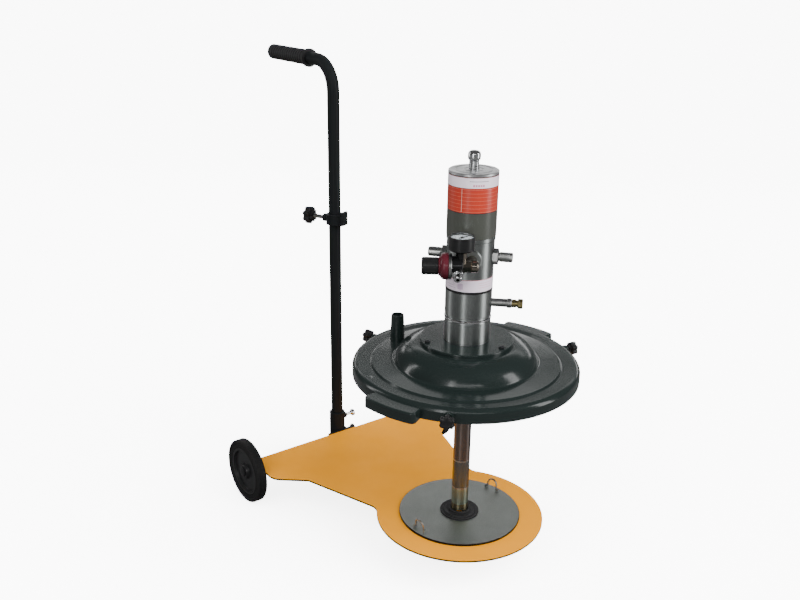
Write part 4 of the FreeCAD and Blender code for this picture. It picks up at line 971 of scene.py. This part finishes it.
# %% Shape a star knob
def star_knob(name, radius, length, lobes):
    """A knob along Z, from its neck at nought to its domed back."""
    steps_per_lobe = 8
    steps = lobes * steps_per_lobe
    neck = length * 0.3
    bpy.ops.object.select_all(action="DESELECT")
    bpy.ops.mesh.primitive_cylinder_add(vertices=steps, radius=radius * MM, depth=(length - neck) * MM,
                                        location=(0, 0, (length + neck) / 2 * MM))
    obj = bpy.context.object
    obj.name = name
    bpy.ops.object.transform_apply(location=True, rotation=True, scale=True)

    def step_in_lobe(vertex):
        """Where a vertex stands in its lobe, with nought at the valley."""
        turn = math.atan2(vertex.co.y, vertex.co.x) / math.tau
        return round(turn * steps) % steps_per_lobe

    # The bottom of each valley, then the steps beside it, is drawn in to a share of the radius.
    for share, valley in ((0.76, (0,)), (0.83, (1, 7)), (0.95, (2, 6))):
        choose(obj, "VERT", lambda vertex: step_in_lobe(vertex) in valley)
        bpy.ops.transform.resize(value=(share, share, 1), center_override=(0, 0, 0))
        bpy.ops.object.mode_set(mode="OBJECT")
    choose(obj, "FACE", lambda face: face.normal.z < -0.9)
    bpy.ops.mesh.inset(thickness=radius * 0.10 * MM, depth=length * 0.05 * MM)
    bpy.ops.mesh.inset(thickness=radius * 0.26 * MM)
    bpy.ops.mesh.extrude_region_move(TRANSFORM_OT_translate={"value": (0, 0, -neck * MM)})
    bpy.ops.mesh.inset(thickness=radius * 0.04 * MM)
    bpy.ops.object.mode_set(mode="OBJECT")
    choose(obj, "FACE", lambda face: face.normal.z > 0.9)
    bpy.ops.mesh.inset(thickness=radius * 0.10 * MM, depth=length * 0.06 * MM)
    bpy.ops.mesh.inset(thickness=radius * 0.26 * MM, depth=length * 0.03 * MM)
    bpy.ops.mesh.inset(thickness=radius * 0.06 * MM, depth=-length * 0.04 * MM)
    bpy.ops.object.mode_set(mode="OBJECT")
    smooth = obj.modifiers.new("smooth", "SUBSURF")
    smooth.levels = 2
    smooth.render_levels = 2
    pick(obj)
    bpy.ops.object.modifier_apply(modifier=smooth.name)
    bpy.ops.object.shade_smooth()
    return obj


print("star knob ready")


# %% Make a stud and fit it with its knob
def bare_bar(name, radius, low, high):
    """A turned bar with blunt ends."""
    points = [(0, low), (radius - 0.8, low), (radius, low + 0.8), (radius, high), (0, high)]
    return spun(name, points, 32, closed=False)


def copy_of(obj, name):
    """The same shape again, with its own mesh."""
    copy = bpy.data.objects.new(name, obj.data.copy())
    bpy.context.scene.collection.objects.link(copy)
    return copy


def joined(first, *others):
    """One object made of several."""
    bpy.ops.object.select_all(action="DESELECT")
    for obj in (first, *others):
        obj.select_set(True)
    bpy.context.view_layer.objects.active = first
    bpy.ops.object.join()
    return first


# The radius of the stud's bar, the root and crest radius of its thread, and the pitch, in mm.
stud_radius, stud_root, stud_crest, stud_pitch = 3.45, 3.3, 4.0, 1.5


def fit_screw(node, knob, knob_length, axis, foot, bar_name, bar_short, thread_short):
    """Puts a knob on a packed screw's outer end, and a threaded stud from its inner end."""
    near, far = reach_of(node, axis)
    turn_to(knob, foot + axis * (far - knob_length * MM), axis)
    hand_over(knob, node)
    length = (far - near) / MM
    bar = bare_bar(bar_name + "_bar", stud_radius, 0, length - bar_short)
    thread = ridge(bar_name + "_ridge", stud_root, stud_crest, stud_pitch, length - thread_short)
    stud = joined(bar, thread)
    turn_to(stud, foot + axis * near, axis)
    add_piece(stud, node, finishes["zinc_steel"])


print("stud ready, thread pitch", stud_pitch, "mm")

# %% Fit the lid's screws
lid_knob_radius, lid_knob_length, lid_knob_lobes = 13.0, 14.0, 6
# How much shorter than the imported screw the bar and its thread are, in mm.
lid_bar_short, lid_thread_short = 10, 13
knob_pattern = star_knob("knob_pattern", lid_knob_radius, lid_knob_length, lid_knob_lobes)
for i in (1, 2, 3):
    node = "lid_screw_" + str(i)
    joint = joint_of[node + "_turn"]
    axis = Vector(joint["axis"])
    outwards = axis if axis.dot(Vector(joint["pos_m"])) > 0 else -axis
    height = Vector((0, 0, joint["pos_m"][2]))
    knob = copy_of(knob_pattern, node + "_knob")
    fit_screw(node, knob, lid_knob_length, outwards, height, node, lid_bar_short, lid_thread_short)
bpy.data.objects.remove(knob_pattern)
print("lid screws: 3")

# %% Fit the collar's screw
collar_knob_radius, collar_knob_length, collar_knob_lobes = 18.0, 17.0, 7
collar_bar_short, collar_thread_short = 12, 16
joint = joint_of["collar_screw_turn"]
axis = Vector(joint["axis"])
place = Vector(joint["pos_m"])
knob = star_knob("collar_knob", collar_knob_radius, collar_knob_length, collar_knob_lobes)
fit_screw("collar_screw", knob, collar_knob_length, axis, place - axis * axis.dot(place), "collar",
          collar_bar_short, collar_thread_short)
print("collar screw:", collar_knob_lobes, "lobes")

# %% [markdown]
# ## Gauge scale
#
# The dial has a printed scale: short and long ticks over three quarters of a turn, and plain
# numbers. One tick of each length is modelled, then copied round the dial. The numbers are
# text objects made into meshes, as thin as ink. A scale painted by nodes would also work, but
# numbers would need a picture.

# %% Measure the dial
dial_low, dial_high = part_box("gauge_dial")
dial_middle = (dial_low + dial_high) / 2
ink_gap = 0.05
dial_middle.z = dial_high.z + ink_gap * MM
dial_margin = 2.2
scale_radius = (dial_high.x - dial_low.x) / 2 - dial_margin * MM

# The scale starts where the needle's tip, its farthest point from the middle, lies at rest.
needle = frame["nodes"]["gauge_needle"].data
tip = max((v.co for v in needle.vertices), key=lambda co: (co.xy - dial_middle.xy).length)
zero = math.atan2(tip.y - dial_middle.y, tip.x - dial_middle.x)
sweep = 270
print("scale radius:", round(scale_radius / MM, 1), "mm")

# %% Print the ticks
ink_height = 0.08


def tick(name, length, width):
    """A flat ink bar that lies on the X axis, its outer end at the scale's radius."""
    bpy.ops.object.select_all(action="DESELECT")
    bpy.ops.mesh.primitive_plane_add(size=1, location=(scale_radius - length / 2 * MM, 0, 0))
    obj = bpy.context.object
    obj.name = name
    obj.scale = (length * MM, width * MM, 1)
    bpy.ops.object.transform_apply(location=True, rotation=True, scale=True)
    bpy.ops.object.mode_set(mode="EDIT")
    bpy.ops.mesh.select_all(action="SELECT")
    bpy.ops.mesh.extrude_region_move(TRANSFORM_OT_translate={"value": (0, 0, ink_height * MM)})
    bpy.ops.mesh.select_all(action="SELECT")
    bpy.ops.mesh.normals_make_consistent(inside=False)
    bpy.ops.object.mode_set(mode="OBJECT")
    return obj


long_tick = tick("tick_long", 2.6, 0.5)
short_tick = tick("tick_short", 1.5, 0.3)
intervals, long_every = 50, 5
ink = []
for i in range(intervals + 1):
    pattern = long_tick if i % long_every == 0 else short_tick
    mark = copy_of(pattern, "mark_" + str(i))
    mark.rotation_euler.z = zero - math.radians(sweep / intervals * i)
    mark.location = dial_middle
    ink.append(mark)

print("ticks:", len(ink))

# %% Print the numbers and join the scale
numbers = (0, 2, 4, 6, 8, 10)
number_size, number_inset = 4.2, 5.2
number_radius = scale_radius - number_inset * MM
# To a reader the scale starts at the lower left, at this angle from the right.
start_as_read = 225
reading_turn = zero - math.radians(start_as_read)
for value in numbers:
    turn = zero - math.radians(sweep / numbers[-1] * value)
    place = dial_middle + Vector((math.cos(turn), math.sin(turn), 0)) * number_radius
    bpy.ops.object.select_all(action="DESELECT")
    bpy.ops.object.text_add(location=place, rotation=(0, 0, reading_turn))
    number = bpy.context.object
    number.data.body = str(value)
    number.data.size = number_size * MM
    number.data.align_x = "CENTER"
    number.data.align_y = "CENTER"
    number.data.extrude = ink_height / 2 * MM
    pick(number)
    bpy.ops.object.convert(target="MESH")
    ink.append(bpy.context.object)
for obj in (long_tick, short_tick):
    bpy.data.objects.remove(obj)
scale = joined(*ink)
scale.name = "gauge_scale"
pick(scale)
bpy.ops.object.transform_apply(location=True, rotation=True, scale=True)
add_piece(scale, "gauge_dial", finishes["needle_black"])
print("gauge scale:", len(scale.data.polygons), "faces")

# %% [markdown]
# ## Pieces that stay as packed
#
# What is sealed inside, or is already as plain as the real one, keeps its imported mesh. It
# still gets its own finish, because the lid and the tube can be lifted to show it.

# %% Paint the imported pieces
for node, obj in frame["nodes"].items():
    obj.data.materials.clear()
    obj.data.materials.append(finishes[slot_of[node]])
print("painted:", len(frame["nodes"]))
